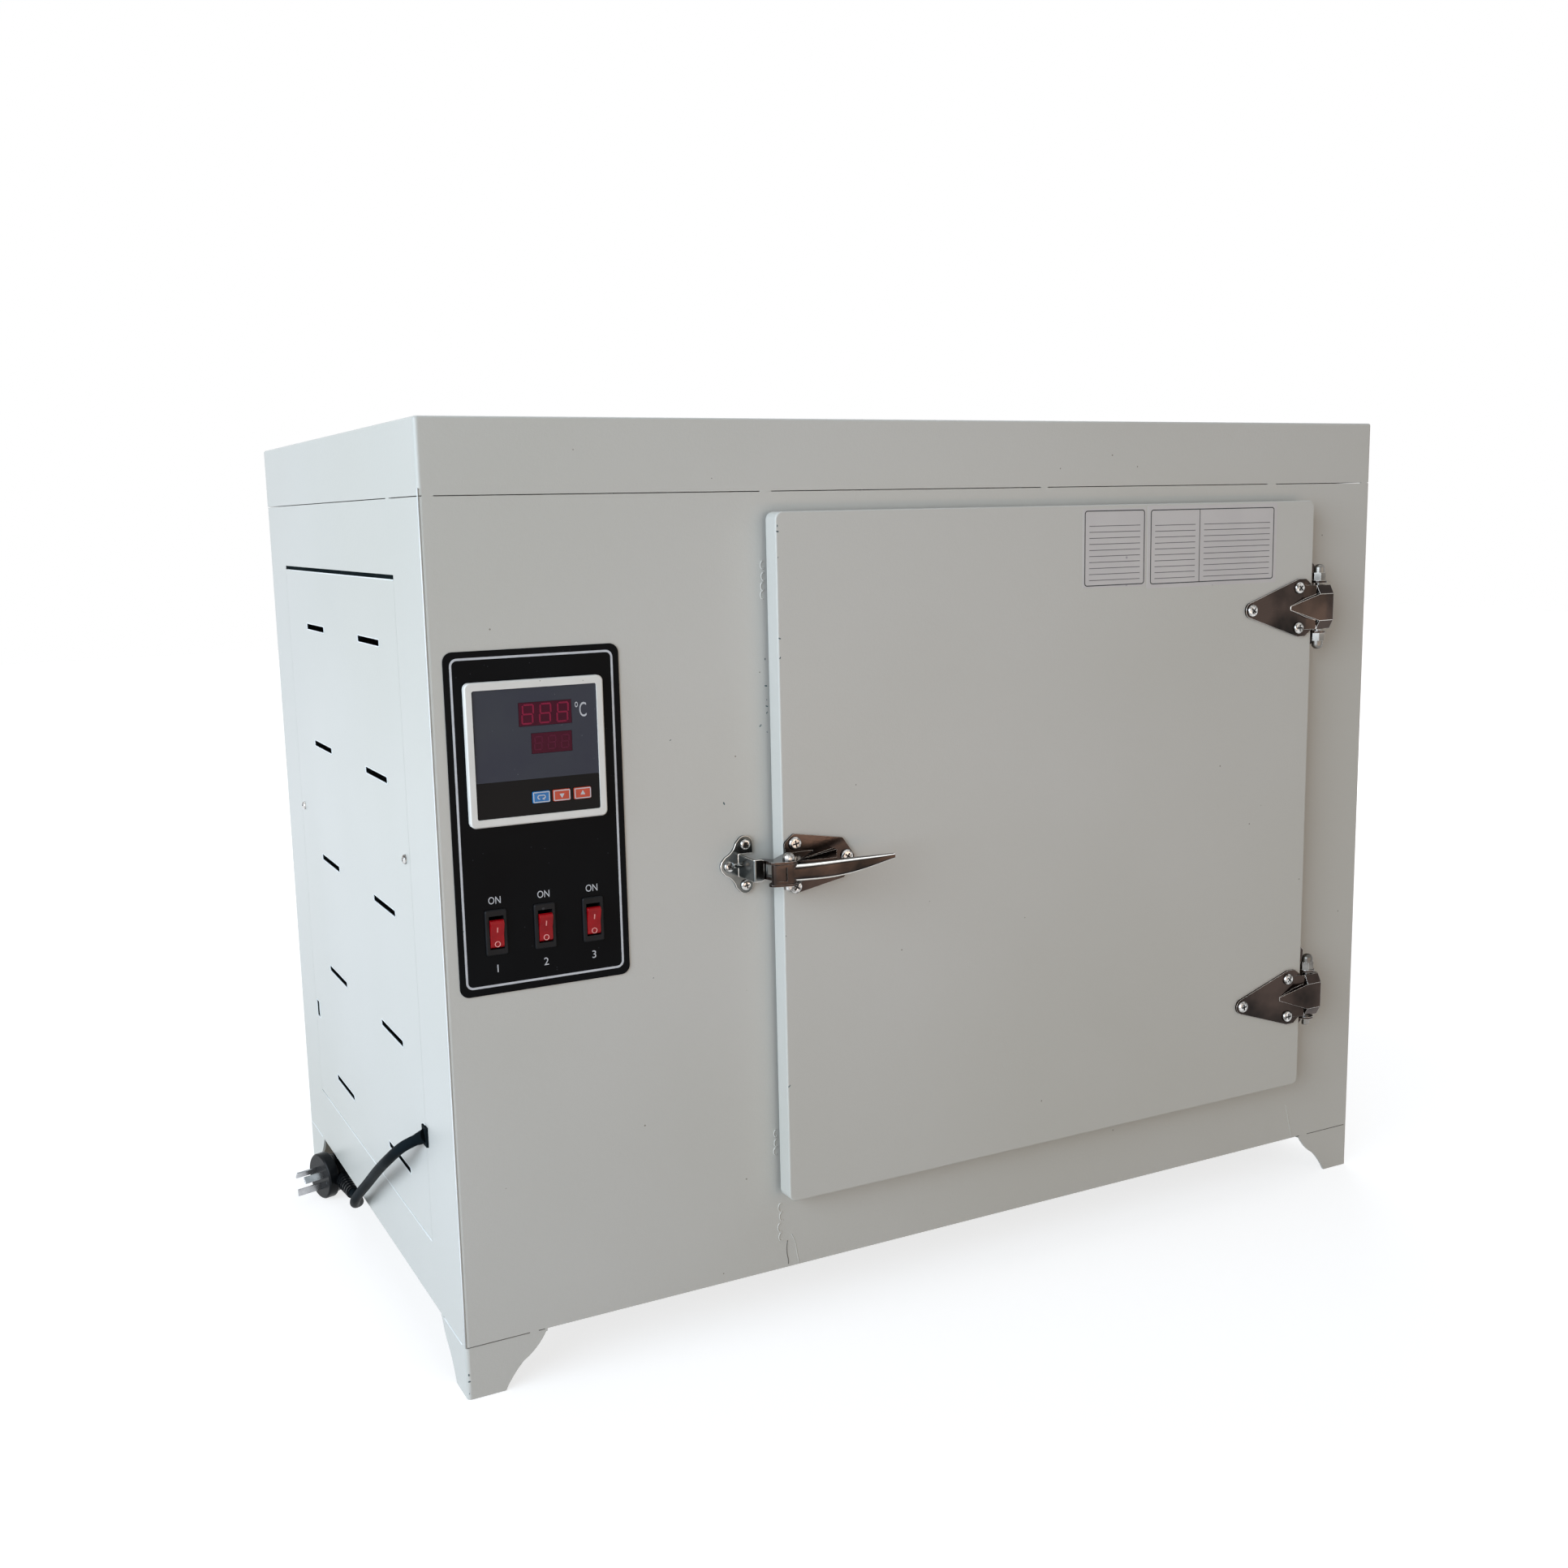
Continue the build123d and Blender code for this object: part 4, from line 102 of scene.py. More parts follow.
# Control label and what is printed on it
LABEL_FACE = -0.8
BORDER_X = (14.2, 127.2)
BORDER_Z = (291.5, 513.2)
BORDER_LINE = 1.5
BORDER_RADIUS = 5.0
PRINT_THICK = 0.08
SWITCH_X = (36.6, 70.85, 105.55)
SWITCH_Z = 328.9
ON_Z = 350.5
NUMBER_Z = 303.5
ON_SIZE = 7.0
ON_NARROW = 0.82
NUMBER_SIZE = 7.6

# Controller
METER_CENTRE = (69.9, 449.0)
METER_FACE = (86.4, 85.5)
METER_FACE_Y = -4.5
METER_SPLIT_Z = 430.6
# Display windows as width, centre x and centre z; digits as width, height and a bar's thickness
WINDOW_MAIN = (36.6, 76.6, 474.0)
WINDOW_SET = (28.2, 80.4, 454.2)
MAIN_DIGIT = (7.2, 12.4, 1.1)
SET_DIGIT = (5.0, 8.6, 0.8)
DIGIT_COUNT = 3
DIGIT_LEAN = 0.1
SEGMENT_POINT = 0.49
SEGMENT_GAP = 0.35
DEGREE_PLACE = (101.5, 474.0)
DEGREE_SIZE = 14.0
DEGREE_NARROW = 0.58
KEY_X = {"key_set": 71.1, "key_down": 85.45, "key_up": 100.3}
KEY_Z = 418.0
KEY_SIZE = (12.4, 8.0)
KEY_FACE = -5.6
KEY_RIM_INSET = 0.4
KEY_RIM_RADIUS = 0.8
KEY_RIM_LINE = 0.65
KEY_TRIANGLE = 2.0
TRIANGLE_ROUND = 0.25
ARROW_HALF_LENGTH = 2.9
ARROW_HALF_HEIGHT = 1.5
ARROW_RADIUS = 1.4
ARROW_LINE = 0.6
ARROW_GAP_X = (-1.2, 1.6)
ARROW_GAP_Z = (-2.5, -0.4)
ARROW_TIP = (1.4, -1.2)
ARROW_TIP_SIZE = 1.1

# Rockers: level outline turned by its tilt round the trunnions
ROCKER_PIVOT_Y = 4.2
ROCKER_TILT = 8.0
ROCKER_END_Y = -4.8
ROCKER_MIDDLE_Y = -3.4
ROCKER_HALF_LENGTH = 9.8
ROCKER_END_SLANT = 2.8
ROCKER_CORNER_WITHIN = 0.3
STROKE_RISE = 3.4
STROKE_HALF_WIDTH = 0.35
STROKE_HALF_HEIGHT = 1.9
RING_RISE = 6.6
RING_RADIUS = 1.75
MARK_ROUND = 0.3

# Door
DOOR_FACE = -18.8
DOOR_LEFT = 244.25
CARD_SMALL = ((509.0, 570.0), (539.6, 600.0))
CARD_LARGE = ((571.6, 706.3), (537.2, 601.4))
CARD_MARGIN = {"door_card_small": 1.3, "door_card_large": 3.0}
CARD_DIVIDER_X = 624.5
CARD_THICK = 0.15
CARD_RADIUS = 1.0
CARD_LINE = 0.8
CARD_LINE_RADIUS = 2.6
INK_THICK = 0.06
DIVIDER_HALF = 0.3
DIVIDER_GAP = 0.5
RULE_PITCH = 4.6
RULE_INSET = 4.5
RULE_THICK = 0.04
RULE_HALF = 0.28

# Marks of making and of use on the painted sheet, and lines of painted highlight and painted shadow on it
FRONT_FACE = 0.0
FOOT_TOP = 38.4
# Front seam lines are dark as painted shadow; side seam, panel edge, slot mouth and corner lines are
# near-white painted highlight
FOOT_SEAMS = ((1.2, 46.5), (53.0, 57.5), (780.5, 825.6), (767.0, 771.0))
FOOT_SEAMS_SIDE = ((6.9, 52.9), (455.0, 501.0))
SEAM_RADIUS = 0.32
PANEL_SPAN_Y = (73.0, 441.0)
PANEL_HIGHLIGHT_Z = 88.2
HIGHLIGHT_LINE_RADIUS = 0.5
# The strip set in the slit over the side panel is dark as painted shadow.
PANEL_SLIT_HEIGHT = 3.0
PANEL_SLIT_DEPTH = (0.2, 1.2)
SLOT_HIGHLIGHT_RADIUS = 0.45
PANEL_FRAME = 3.0
SAME_FACE = 0.1
CORNER_LINE_INSET = 0.3
CORNER_LINE_Z = (38.4, 622.0)
# Rows of weld beads: heights, x, radius, then sway and turn, each as its most and its step
BEAD_ROWS = (((87.0, 79.6, 71.2, 63.6), 245.8, 2.6, (0.9, 2.1), (0.5, 3.0)),
             ((566.0, 558.0, 551.0, 545.0, 146.0, 138.5, 132.0), 242.9, 2.1, (0.5, 1.7), (0.6, 2.4)))
BEAD_ROUND = 0.5
BEAD_CUT = 0.3
BEAD_CUT_LEAN = (1, 0, 0.15)
BEAD_SQUEEZE = (0.75, 1, 1.25)
DOOR_SEAM = ((250.9, 59.5), (250.0, 54.0), (250.2, 48.8), (251.4, 44.0), (251.2, 40.6))
STEP_LINE = ((254.4, 64.0), (258.0, 57.0), (258.6, 48.0), (260.6, 39.5))
DENT_LINE = ((753.7, 71.0), (756.2, 62.3), (757.6, 55.0), (760.3, 46.2), (761.8, 39.6))
STEP_RADIUS = 0.5
DENT_RADIUS = 0.6
FRONT_CHIPS = ((243.3, 499.7), (243.5, 480.6), (243.9, 470.7), (243.8, 466.0), (243.8, 461.4),
               (243.7, 447.4), (238.4, 452.5), (101.4, 287.2), (168.2, 447.7), (208.0, 399.1),
               (149.2, 279.9), (1.4, 18.6), (1.6, 13.7), (1.1, 4.9))
DOOR_CHIPS = (593.1, 589.2, 571.4, 515.2, 501.6, 301.0, 188.0)
DOOR_CHIP_INSET = 1.4
CHIP_SIZE = 0.75
CHIP_SWING = 0.3
CHIP_SWING_STEP = 2.3
CHIP_TURN = 1.7
CHIP_SHAPE = (0.55, 1.2)
CHIP_THICK = 0.06
CHIP_RAGGED = 0.12

# Screw heads
HEAD_HEIGHT = 2.4
SHANK_RADIUS = 1.9
SHANK_LENGTH = 4.2
HEAD_ROUND = 0.78
RECESS_LENGTH = 1.05
RECESS_WIDTH = 0.24
RECESS_DEPTH = 2.6
RECESS_ROUND = 0.15
FIRST_TURN = 31
NEXT_TURN = 47


def at(x, y, z):
    return Vector((CORNER.x + x * MM, CORNER.y + y * MM, z * MM))


def about(place, change):
    """A turn or stretch about a place."""
    return Matrix.Translation(place) @ change @ Matrix.Translation(-place)


def span(middle, half):
    """The limits of a width about its middle."""
    return middle - half, middle + half


# Modelling by hand


def object_mode():
    bpy.ops.object.mode_set(mode="OBJECT")


def start_fresh():
    """Object mode with nothing selected."""
    if bpy.context.object and bpy.context.object.mode != "OBJECT":
        object_mode()
    bpy.ops.object.select_all(action="DESELECT")


def activate(piece):
    start_fresh()
    bpy.context.view_layer.objects.active = piece
    piece.select_set(True)


def edit_all(piece):
    """Edit mode with the whole piece selected."""
    activate(piece)
    bpy.ops.object.mode_set(mode="EDIT")
    bpy.ops.mesh.select_all(action="SELECT")


def pick(piece, kind, test):
    """Edit mode with only the faces or edges that pass a test selected."""
    activate(piece)
    bpy.ops.object.mode_set(mode="EDIT")
    bpy.ops.mesh.select_mode(type=kind)
    bpy.ops.mesh.select_all(action="DESELECT")
    object_mode()
    parts = piece.data.polygons if kind == "FACE" else piece.data.edges
    for part in parts:
        part.select = test(part)
    bpy.ops.object.mode_set(mode="EDIT")


def runs_along(piece, axis):
    """A test for edges that run along x, y or z."""
    index = "xyz".index(axis)

    def test(edge):
        a, b = (piece.data.vertices[end].co for end in edge.vertices)
        step = b - a
        return abs(step[index]) > ALIGNED * step.length

    return test


def faces_to(direction):
    """A test for faces that look one way."""
    way = Vector(direction)
    return lambda face: face.normal.dot(way) > ALIGNED


def rounded_edges(piece, axis, radius, segments):
    """Bevel the edges that run along one axis."""
    pick(piece, "EDGE", runs_along(piece, axis))
    bpy.ops.mesh.bevel(offset=radius * MM, segments=segments, affect="EDGES")
    object_mode()
    return piece


def settle(piece):
    """Put the piece's place into its mesh, merge doubles and turn its faces outward."""
    activate(piece)
    bpy.ops.object.transform_apply(location=True, rotation=True, scale=True)
    edit_all(piece)
    bpy.ops.mesh.remove_doubles(threshold=MERGE_WITHIN * MM)
    bpy.ops.mesh.normals_make_consistent(inside=False)
    object_mode()
    return piece


def smooth(piece, angle):
    activate(piece)
    bpy.ops.object.shade_smooth_by_angle(angle=radians(angle))
    return piece


def join(pieces, name):
    """Several meshes as one piece."""
    start_fresh()
    for piece in pieces:
        piece.select_set(True)
    bpy.context.view_layer.objects.active = pieces[0]
    if len(pieces) > 1:
        bpy.ops.object.join()
    whole = bpy.context.object
    whole.name = name
    return whole


def copied(piece, offset=Vector((0, 0, 0))):
    """A copy with its own mesh, moved by an offset."""
    twin = piece.copy()
    twin.data = piece.data.copy()
    bpy.context.collection.objects.link(twin)
    twin.data.transform(Matrix.Translation(offset))
    return twin


def apply_modifier(piece, kind, **settings):
    """Add a modifier and apply it."""
    activate(piece)
    modifier = piece.modifiers.new("step", kind)
    for setting, value in settings.items():
        setattr(modifier, setting, value)
    bpy.ops.object.modifier_apply(modifier="step")
    return piece


def block(name, x, y, z):
    """A box between limits in cabinet millimetres."""
    low, high = at(x[0], y[0], z[0]), at(x[1], y[1], z[1])
    start_fresh()
    bpy.ops.mesh.primitive_cube_add(size=1, location=(low + high) / 2, scale=high - low)
    piece = bpy.context.object
    piece.name = name
    bpy.ops.object.transform_apply(location=True, rotation=True, scale=True)
    return piece


def card(name, x, z, back_y, thick, radius):
    """A thin plate with rounded corners that lies on a front face."""
    return rounded_edges(block(name, x, (back_y - thick, back_y), z), "y", radius, CORNER_STEPS)


def open_ring(name, x, z, back_y, thick, radius, line):
    """A rounded card with all but one line of its outline cut away."""
    ring = card(name, x, z, back_y, thick, radius)
    pick(ring, "FACE", lambda face: abs(face.normal.y) > ALIGNED)
    bpy.ops.mesh.inset(thickness=line * MM, use_individual=True)
    bpy.ops.mesh.bridge_edge_loops()
    object_mode()
    return ring


def ring_card(name, x, z, back_y, thick, radius, line):
    """The outline of a rounded card, one line wide, with its faces turned outward."""
    return settle(open_ring(name, x, z, back_y, thick, radius, line))


def lettering(name, words, size, x, y, z, narrow=1.0):
    """Printed characters that stand a hair proud of a front face."""
    start_fresh()
    bpy.ops.object.text_add(location=at(x, y - PRINT_THICK / 2, z), rotation=(pi / 2, 0, 0))
    print_piece = bpy.context.object
    print_piece.name = name
    print_piece.scale = (narrow, 1, 1)
    letters = print_piece.data
    letters.body = words
    letters.size = size * MM
    letters.extrude = PRINT_THICK / 2 * MM
    letters.align_x = "CENTER"
    letters.align_y = "CENTER"
    letters.resolution_u = 4
    bpy.ops.object.convert(target="MESH")
    return settle(bpy.context.object)


def routed_curve(name, points, radius, sides):
    """A round line that follows (x, y, z) places as one smooth open spline."""
    curve = bpy.data.curves.new(name, "CURVE")
    curve.dimensions = "3D"
    spline = curve.splines.new("NURBS")
    spline.points.add(len(points) - 1)
    for point, place in zip(spline.points, points):
        point.co = (*at(*place), 1)
    spline.order_u = 3 if len(points) > 2 else 2
    spline.use_endpoint_u = True
    curve.resolution_u = 12
    curve.bevel_depth = radius * MM
    curve.bevel_resolution = sides
    curve.use_fill_caps = True
    line = bpy.data.objects.new(name, curve)
    bpy.context.collection.objects.link(line)
    return line


def cover(piece, *materials):
    """Give a piece these materials and no others; None stands for no material."""
    piece.data.materials.clear()
    for material in filter(None, materials):
        piece.data.materials.append(material)


def finish(piece, material, body, replaces=()):
    """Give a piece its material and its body."""
    if material:
        cover(piece, material)
    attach(piece, body)
    if replaces:
        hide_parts(*replaces)
    return piece


def on_sheet(piece, material, body="oven"):
    """Finish a mark that lies on the painted sheet."""
    return finish(piece, material, body)


def merged_copy(node, name, whole_faces=True):
    """A merged copy of a CAD node's mesh, with its flat faces whole unless told otherwise."""
    twin = bpy.data.objects.new(name, frame["nodes"][node].data.copy())
    bpy.context.collection.objects.link(twin)
    edit_all(twin)
    bpy.ops.mesh.remove_doubles(threshold=MERGE_NODE_WITHIN * MM)
    if whole_faces:
        bpy.ops.mesh.dissolve_limited(angle_limit=radians(FLAT_WITHIN))
    object_mode()
    return twin


def softened(node, width, material, edge_material=None, segments=3, shape=None):
    """A CAD node's shape with its sharp edges rounded, standing for that node."""
    twin = shape or merged_copy(node, node + "_finished")
    cover(twin, material, edge_material)
    twin.data.polygons.foreach_set("material_index", [0] * len(twin.data.polygons))
    apply_modifier(twin, "BEVEL", width=width * MM, segments=segments, limit_method="ANGLE",
                   angle_limit=radians(SHARP_ANGLE), material=1 if edge_material else -1,
                   use_clamp_overlap=True, miter_outer="MITER_ARC")
    smooth(twin, SMOOTH_ANGLE)
    apply_modifier(twin, "WEIGHTED_NORMAL", keep_sharp=True, weight=100)
    return finish(twin, None, frame["nodes"][node]["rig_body"], (node,))


def solids_of(node):
    """The low and high corners of each separate solid in a CAD node."""
    edit_all(merged_copy(node, "parting"))
    bpy.ops.mesh.separate(type="LOOSE")
    object_mode()
    corners = []
    for part in list(bpy.context.selected_objects):
        places = [vertex.co for vertex in part.data.vertices]
        low = Vector([min(place[axis] for place in places) for axis in range(3)])
        high = Vector([max(place[axis] for place in places) for axis in range(3)])
        corners.append((low, high))
        bpy.data.objects.remove(part)
    return sorted(corners, key=lambda pair: tuple(pair[0]))


# Camera, light and floor


def photo_camera():
    bpy.ops.object.camera_add()
    camera = bpy.context.object
    camera.data.lens = CAMERA_LENS
    camera.data.sensor_width = CAMERA_SENSOR
    turn = Matrix.Rotation(radians(-CAMERA_YAW), 4, "Z")
    turn = turn @ Matrix.Rotation(radians(90 - CAMERA_PITCH), 4, "X")
    roll = Matrix.Rotation(radians(CAMERA_ROLL), 4, "Z")
    camera.matrix_world = Matrix.Translation(at(*CAMERA_PLACE)) @ turn @ roll
    bpy.context.scene.camera = camera


def seen_plainly(tree):
    """One where a camera, glossy or transmission ray looks, else zero."""
    path = add(tree, "LightPath").outputs
    seen = maths(tree, "MAXIMUM", path["Is Camera Ray"], path["Is Glossy Ray"])
    return maths(tree, "MAXIMUM", seen, path["Is Transmission Ray"])


def white_world():
    """A white surround that lights the object softly."""
    world = bpy.data.worlds.new("studio")
    bpy.context.scene.world = world
    world.use_nodes = True
    tree = world.node_tree
    tree.nodes.clear()
    light = add(tree, "Background", (("Color", ROOM_TINT), ("Strength", ROOM_STRENGTH)))
    shown = add(tree, "Background", (("Color", WHITE), ("Strength", 1.0)))
    mix = add(tree, "MixShader", ((0, seen_plainly(tree)), (1, light.outputs[0]), (2, shown.outputs[0])))
    add(tree, "OutputWorld", (("Surface", mix.outputs[0]),))


def studio_floor():
    """A pale floor that keeps the object's shadow and fades to white further out."""
    bpy.ops.mesh.primitive_plane_add(size=FLOOR_SIZE, location=(0, 0, FLOOR_Z))
    floor = bpy.context.object
    floor.name = "studio_floor"
    material, tree, shader = new_material("pale_floor", 0.9, specular=0.1)
    shader.inputs["Base Color"].default_value = FLOOR_GREY
    away = add(tree, "VectorMath", ((0, place_on(tree)),), operation="LENGTH").outputs["Value"]
    lift = maths(tree, "MULTIPLY", seen_plainly(tree), between(tree, away, *FLOOR_FADE, *FLOOR_GLOW))
    glow = add(tree, "Emission", (("Color", WHITE), ("Strength", lift)))
    total = add(tree, "AddShader", ((0, shader.outputs[0]), (1, glow.outputs[0])))
    tree.links.new(total.outputs[0], tree.nodes["Material Output"].inputs["Surface"])
    floor.data.materials.append(material)


def soft_lamp(name, place, aim, width, height, power, color, mirrored=True):
    """A large soft lamp that no camera sees, and that polished faces mirror or not."""
    bpy.ops.object.light_add(type="AREA", location=place)
    lamp = bpy.context.object
    lamp.name = name
    lamp.data.shape = "RECTANGLE"
    lamp.data.size = width
    lamp.data.size_y = height
    lamp.data.energy = power
    lamp.data.color = color
    lamp.rotation_mode = "QUATERNION"
    lamp.rotation_quaternion = (Vector(aim) - Vector(place)).to_track_quat("-Z", "Y")
    lamp.visible_camera = False
    lamp.visible_glossy = mirrored


def studio_lights():
    """A broad window on the left, softer lamps in front, above and behind, and a warm glow low in front."""
    middle = (0, 0, 0.35)
    soft_lamp("window_left", (-3.3, -1.3, 1.35), middle, 3.5, 2.4, 148, (0.75, 0.87, 1.0))
    soft_lamp("room_front", (1.4, -3.4, 0.9), middle, 2.4, 2.4, 12, (1.0, 0.78, 0.56))
    soft_lamp("ceiling", (0.4, 0.8, 3.0), middle, 2.6, 2.6, 28, (0.8, 0.9, 1.0))
    soft_lamp("room_rear", (1.8, 2.8, 1.6), middle, 2.2, 2.2, 44, (0.95, 0.97, 1.0), mirrored=False)
    soft_lamp("table_glow", (0.0, -1.7, 0.14), (0, -0.25, 0.1), 1.6, 0.2, 2.1, (1.0, 0.6, 0.34))


# Shader groups


def new_group(name, inputs, outputs):
    """A shader group with float or colour sockets, given as name to default value."""
    group = bpy.data.node_groups.new(name, "ShaderNodeTree")
    for label, value in inputs.items():
        kind = "NodeSocketColor" if isinstance(value, tuple) else "NodeSocketFloat"
        socket = group.interface.new_socket(label, in_out="INPUT", socket_type=kind)
        socket.default_value = value
    for label, kind in outputs.items():
        group.interface.new_socket(label, in_out="OUTPUT", socket_type="NodeSocket" + kind)
    return group, group.nodes.new("NodeGroupInput"), group.nodes.new("NodeGroupOutput")


def feed(tree, socket, source):
    """Give a socket a value, or the output of another node."""
    if isinstance(source, bpy.types.NodeSocket):
        tree.links.new(source, socket)
    else:
        socket.default_value = source


def add(tree, kind, links=(), **settings):
    """A node with its settings, and its inputs fed by (socket, value or output) pairs."""
    made = tree.nodes.new("ShaderNode" + kind)
    for setting, value in settings.items():
        setattr(made, setting, value)
    for socket, source in links:
        feed(tree, made.inputs[socket], source)
    return made


def place_on(tree):
    """The place on the piece, in the frame's metres."""
    return add(tree, "TexCoord").outputs["Object"]


def clouds(tree, where, scale, detail, distortion=0.0):
    """Soft noise from nought to one."""
    return add(tree, "TexNoise", (("Vector", where), ("Scale", scale), ("Detail", detail),
                                  ("Distortion", distortion))).outputs[0]


def cells(tree, where, scale):
    """Cells: the distance from each one's middle, and a random share for each."""
    made = add(tree, "TexVoronoi", (("Vector", where), ("Scale", scale)))
    share = add(tree, "SeparateColor", ((0, made.outputs["Color"]),)).outputs[0]
    return made.outputs["Distance"], share


def maths(tree, operation, a, b=0.0):
    return add(tree, "Math", ((0, a), (1, b)), operation=operation).outputs[0]


def mixed(tree, share, a, b):
    """A colour mix of a and b."""
    return add(tree, "Mix", ((0, share), (6, a), (7, b)), data_type="RGBA").outputs[2]


def between(tree, value, low, high, to_low=0.0, to_high=1.0):
    """A value moved from one range to another and held there."""
    ramp = add(tree, "MapRange", (("Value", value), ("From Min", low), ("From Max", high),
                                  ("To Min", to_low), ("To Max", to_high)))
    return ramp.outputs[0]


def speckled_tone():
    """A base colour that drifts slowly, with tiny specks of dirt."""
    group, given, result = new_group("speckled_tone", {
        "Colour": (0.8, 0.8, 0.8, 1), "Drift": (0.75, 0.75, 0.75, 1), "Drift Scale": 4.0,
        "Speck": (0.1, 0.1, 0.1, 1), "Speck Scale": 160.0, "Speck Level": 0.8}, {"Colour": "Color"})
    where = place_on(group)
    share = between(group, clouds(group, where, given.outputs["Drift Scale"], 3.0), 0.36, 0.66)
    color = mixed(group, share, given.outputs["Colour"], given.outputs["Drift"])
    away, chance = cells(group, where, given.outputs["Speck Scale"])
    near = maths(group, "LESS_THAN", away, 0.16)
    rare = maths(group, "GREATER_THAN", chance, given.outputs["Speck Level"])
    speck = maths(group, "MULTIPLY", near, rare)
    color = mixed(group, speck, color, given.outputs["Speck"])
    group.links.new(color, result.inputs["Colour"])
    return group


def peel_texture():
    """The bumps of sprayed powder paint or moulded grain."""
    group, given, result = new_group("peel_texture", {"Scale": 600.0, "Fine": 0.4}, {"Height": "Float"})
    where = place_on(group)
    coarse = clouds(group, where, given.outputs["Scale"], 1.5)
    fine = clouds(group, where, maths(group, "MULTIPLY", given.outputs["Scale"], 3.1), 1.0)
    part = maths(group, "MULTIPLY", fine, given.outputs["Fine"])
    group.links.new(maths(group, "ADD", coarse, part), result.inputs["Height"])
    return group


def handled_gloss():
    """Roughness that wanders where hands and cloths have been."""
    group, given, result = new_group("handled_gloss", {"Roughness": 0.4, "Swing": 0.1, "Scale": 9.0},
                                     {"Roughness": "Float"})
    smear = clouds(group, place_on(group), given.outputs["Scale"], 5.0, 0.6)
    swing = maths(group, "MULTIPLY", maths(group, "SUBTRACT", smear, 0.5), given.outputs["Swing"])
    group.links.new(maths(group, "ADD", given.outputs["Roughness"], swing), result.inputs["Roughness"])
    return group


def rolled_grain():
    """Fine drawn lines along one axis, as on rolled or brushed sheet."""
    group, given, result = new_group("rolled_grain", {"Along X": 12.0, "Along Y": 12.0, "Along Z": 900.0},
                                     {"Height": "Float", "Share": "Float"})
    stretch = add(group, "CombineXYZ", ((0, given.outputs["Along X"]), (1, given.outputs["Along Y"]),
                                        (2, given.outputs["Along Z"])))
    spread = add(group, "VectorMath", ((0, place_on(group)), (1, stretch.outputs[0])), operation="MULTIPLY")
    lines = clouds(group, spread.outputs[0], 1.0, 2.0)
    group.links.new(lines, result.inputs["Height"])
    group.links.new(between(group, lines, 0.35, 0.65), result.inputs["Share"])
    return group


TONE = speckled_tone()
PEEL = peel_texture()
GLOSS = handled_gloss()
GRAIN = rolled_grain()


# Materials


def new_material(name, roughness=0.5, metallic=0.0, coat=0.0, specular=0.5):
    material = bpy.data.materials.new(name)
    material.use_nodes = True
    shader = material.node_tree.nodes["Principled BSDF"]
    shader.inputs["Roughness"].default_value = roughness
    shader.inputs["Metallic"].default_value = metallic
    shader.inputs["Coat Weight"].default_value = coat
    shader.inputs["Specular IOR Level"].default_value = specular
    return material, material.node_tree, shader


def use_group(tree, group, **values):
    """Place a shader group and set its inputs; underscores stand for spaces."""
    placed = tree.nodes.new("ShaderNodeGroup")
    placed.node_tree = group
    for label, value in values.items():
        feed(tree, placed.inputs[label.replace("_", " ")], value)
    return placed


def bump(tree, shader, height, strength, distance):
    made = add(tree, "Bump", (("Height", height), ("Strength", strength), ("Distance", distance * MM)))
    tree.links.new(made.outputs[0], shader.inputs["Normal"])


def wandering(tree, shader, roughness, swing, scale):
    """Give a shader a roughness that wanders over the surface."""
    gloss = use_group(tree, GLOSS, Roughness=roughness, Swing=swing, Scale=scale)
    tree.links.new(gloss.outputs[0], shader.inputs["Roughness"])


def toned(name, color, drift, speck=None, speck_level=0.93, speck_scale=160.0, drift_scale=5.0,
          roughness=0.5, swing=0.08, smear=9.0, metallic=0.0, coat=0.0, specular=0.5,
          peel=0.0, peel_scale=600.0, depth=0.1):
    """The common build of a finish: drifting tone with specks, wandering gloss and a fine relief."""
    material, tree, shader = new_material(name, roughness, metallic, coat, specular)
    tone = use_group(tree, TONE, Colour=rgb(color), Drift=rgb(drift), Drift_Scale=drift_scale,
                     Speck=rgb(speck or drift), Speck_Scale=speck_scale, Speck_Level=speck_level)
    tree.links.new(tone.outputs[0], shader.inputs["Base Color"])
    wandering(tree, shader, roughness, swing, smear)
    if peel:
        relief = use_group(tree, PEEL, Scale=peel_scale)
        bump(tree, shader, relief.outputs[0], peel, depth)
    return material


def rgb(code):
    """A screen colour such as 'c8c7c1' as linear light."""
    channels = [int(code[start:start + 2], 16) / 255 for start in (0, 2, 4)]
    linear = [c / 12.92 if c <= 0.04045 else ((c + 0.055) / 1.055) ** 2.4 for c in channels]
    return (*linear, 1)


def drawn_sheet(name, color, streak, roughness, along):
    """Bare sheet metal with its rolling lines."""
    material, tree, shader = new_material(name, roughness, 1.0)
    grain = use_group(tree, GRAIN, Along_X=along[0], Along_Y=along[1], Along_Z=along[2])
    tone = mixed(tree, grain.outputs["Share"], rgb(color), rgb(streak))
    tree.links.new(tone, shader.inputs["Base Color"])
    wandering(tree, shader, roughness, 0.14, 6.0)
    bump(tree, shader, grain.outputs["Height"], 0.25, 0.03)
    return material


def galvanised_sheet():
    """Zinc coating with its spangle."""
    material, tree, shader = new_material("galvanised_sheet", 0.42, 1.0)
    shade = cells(tree, place_on(tree), 110.0)[1]
    tree.links.new(mixed(tree, shade, rgb("9a9fa2"), rgb("b9bdbf")), shader.inputs["Base Color"])
    tree.links.new(between(tree, shade, 0.0, 1.0, 0.34, 0.5), shader.inputs["Roughness"])
    return material


def mineral_wool():
    material, tree, shader = new_material("mineral_wool", 0.95)
    relief = use_group(tree, PEEL, Scale=180.0, Fine=0.8)
    share = between(tree, relief.outputs[0], 0.5, 0.9)
    tree.links.new(mixed(tree, share, rgb("b39a4e"), rgb("d8c684")), shader.inputs["Base Color"])
    bump(tree, shader, relief.outputs[0], 0.9, 2.0)
    return material


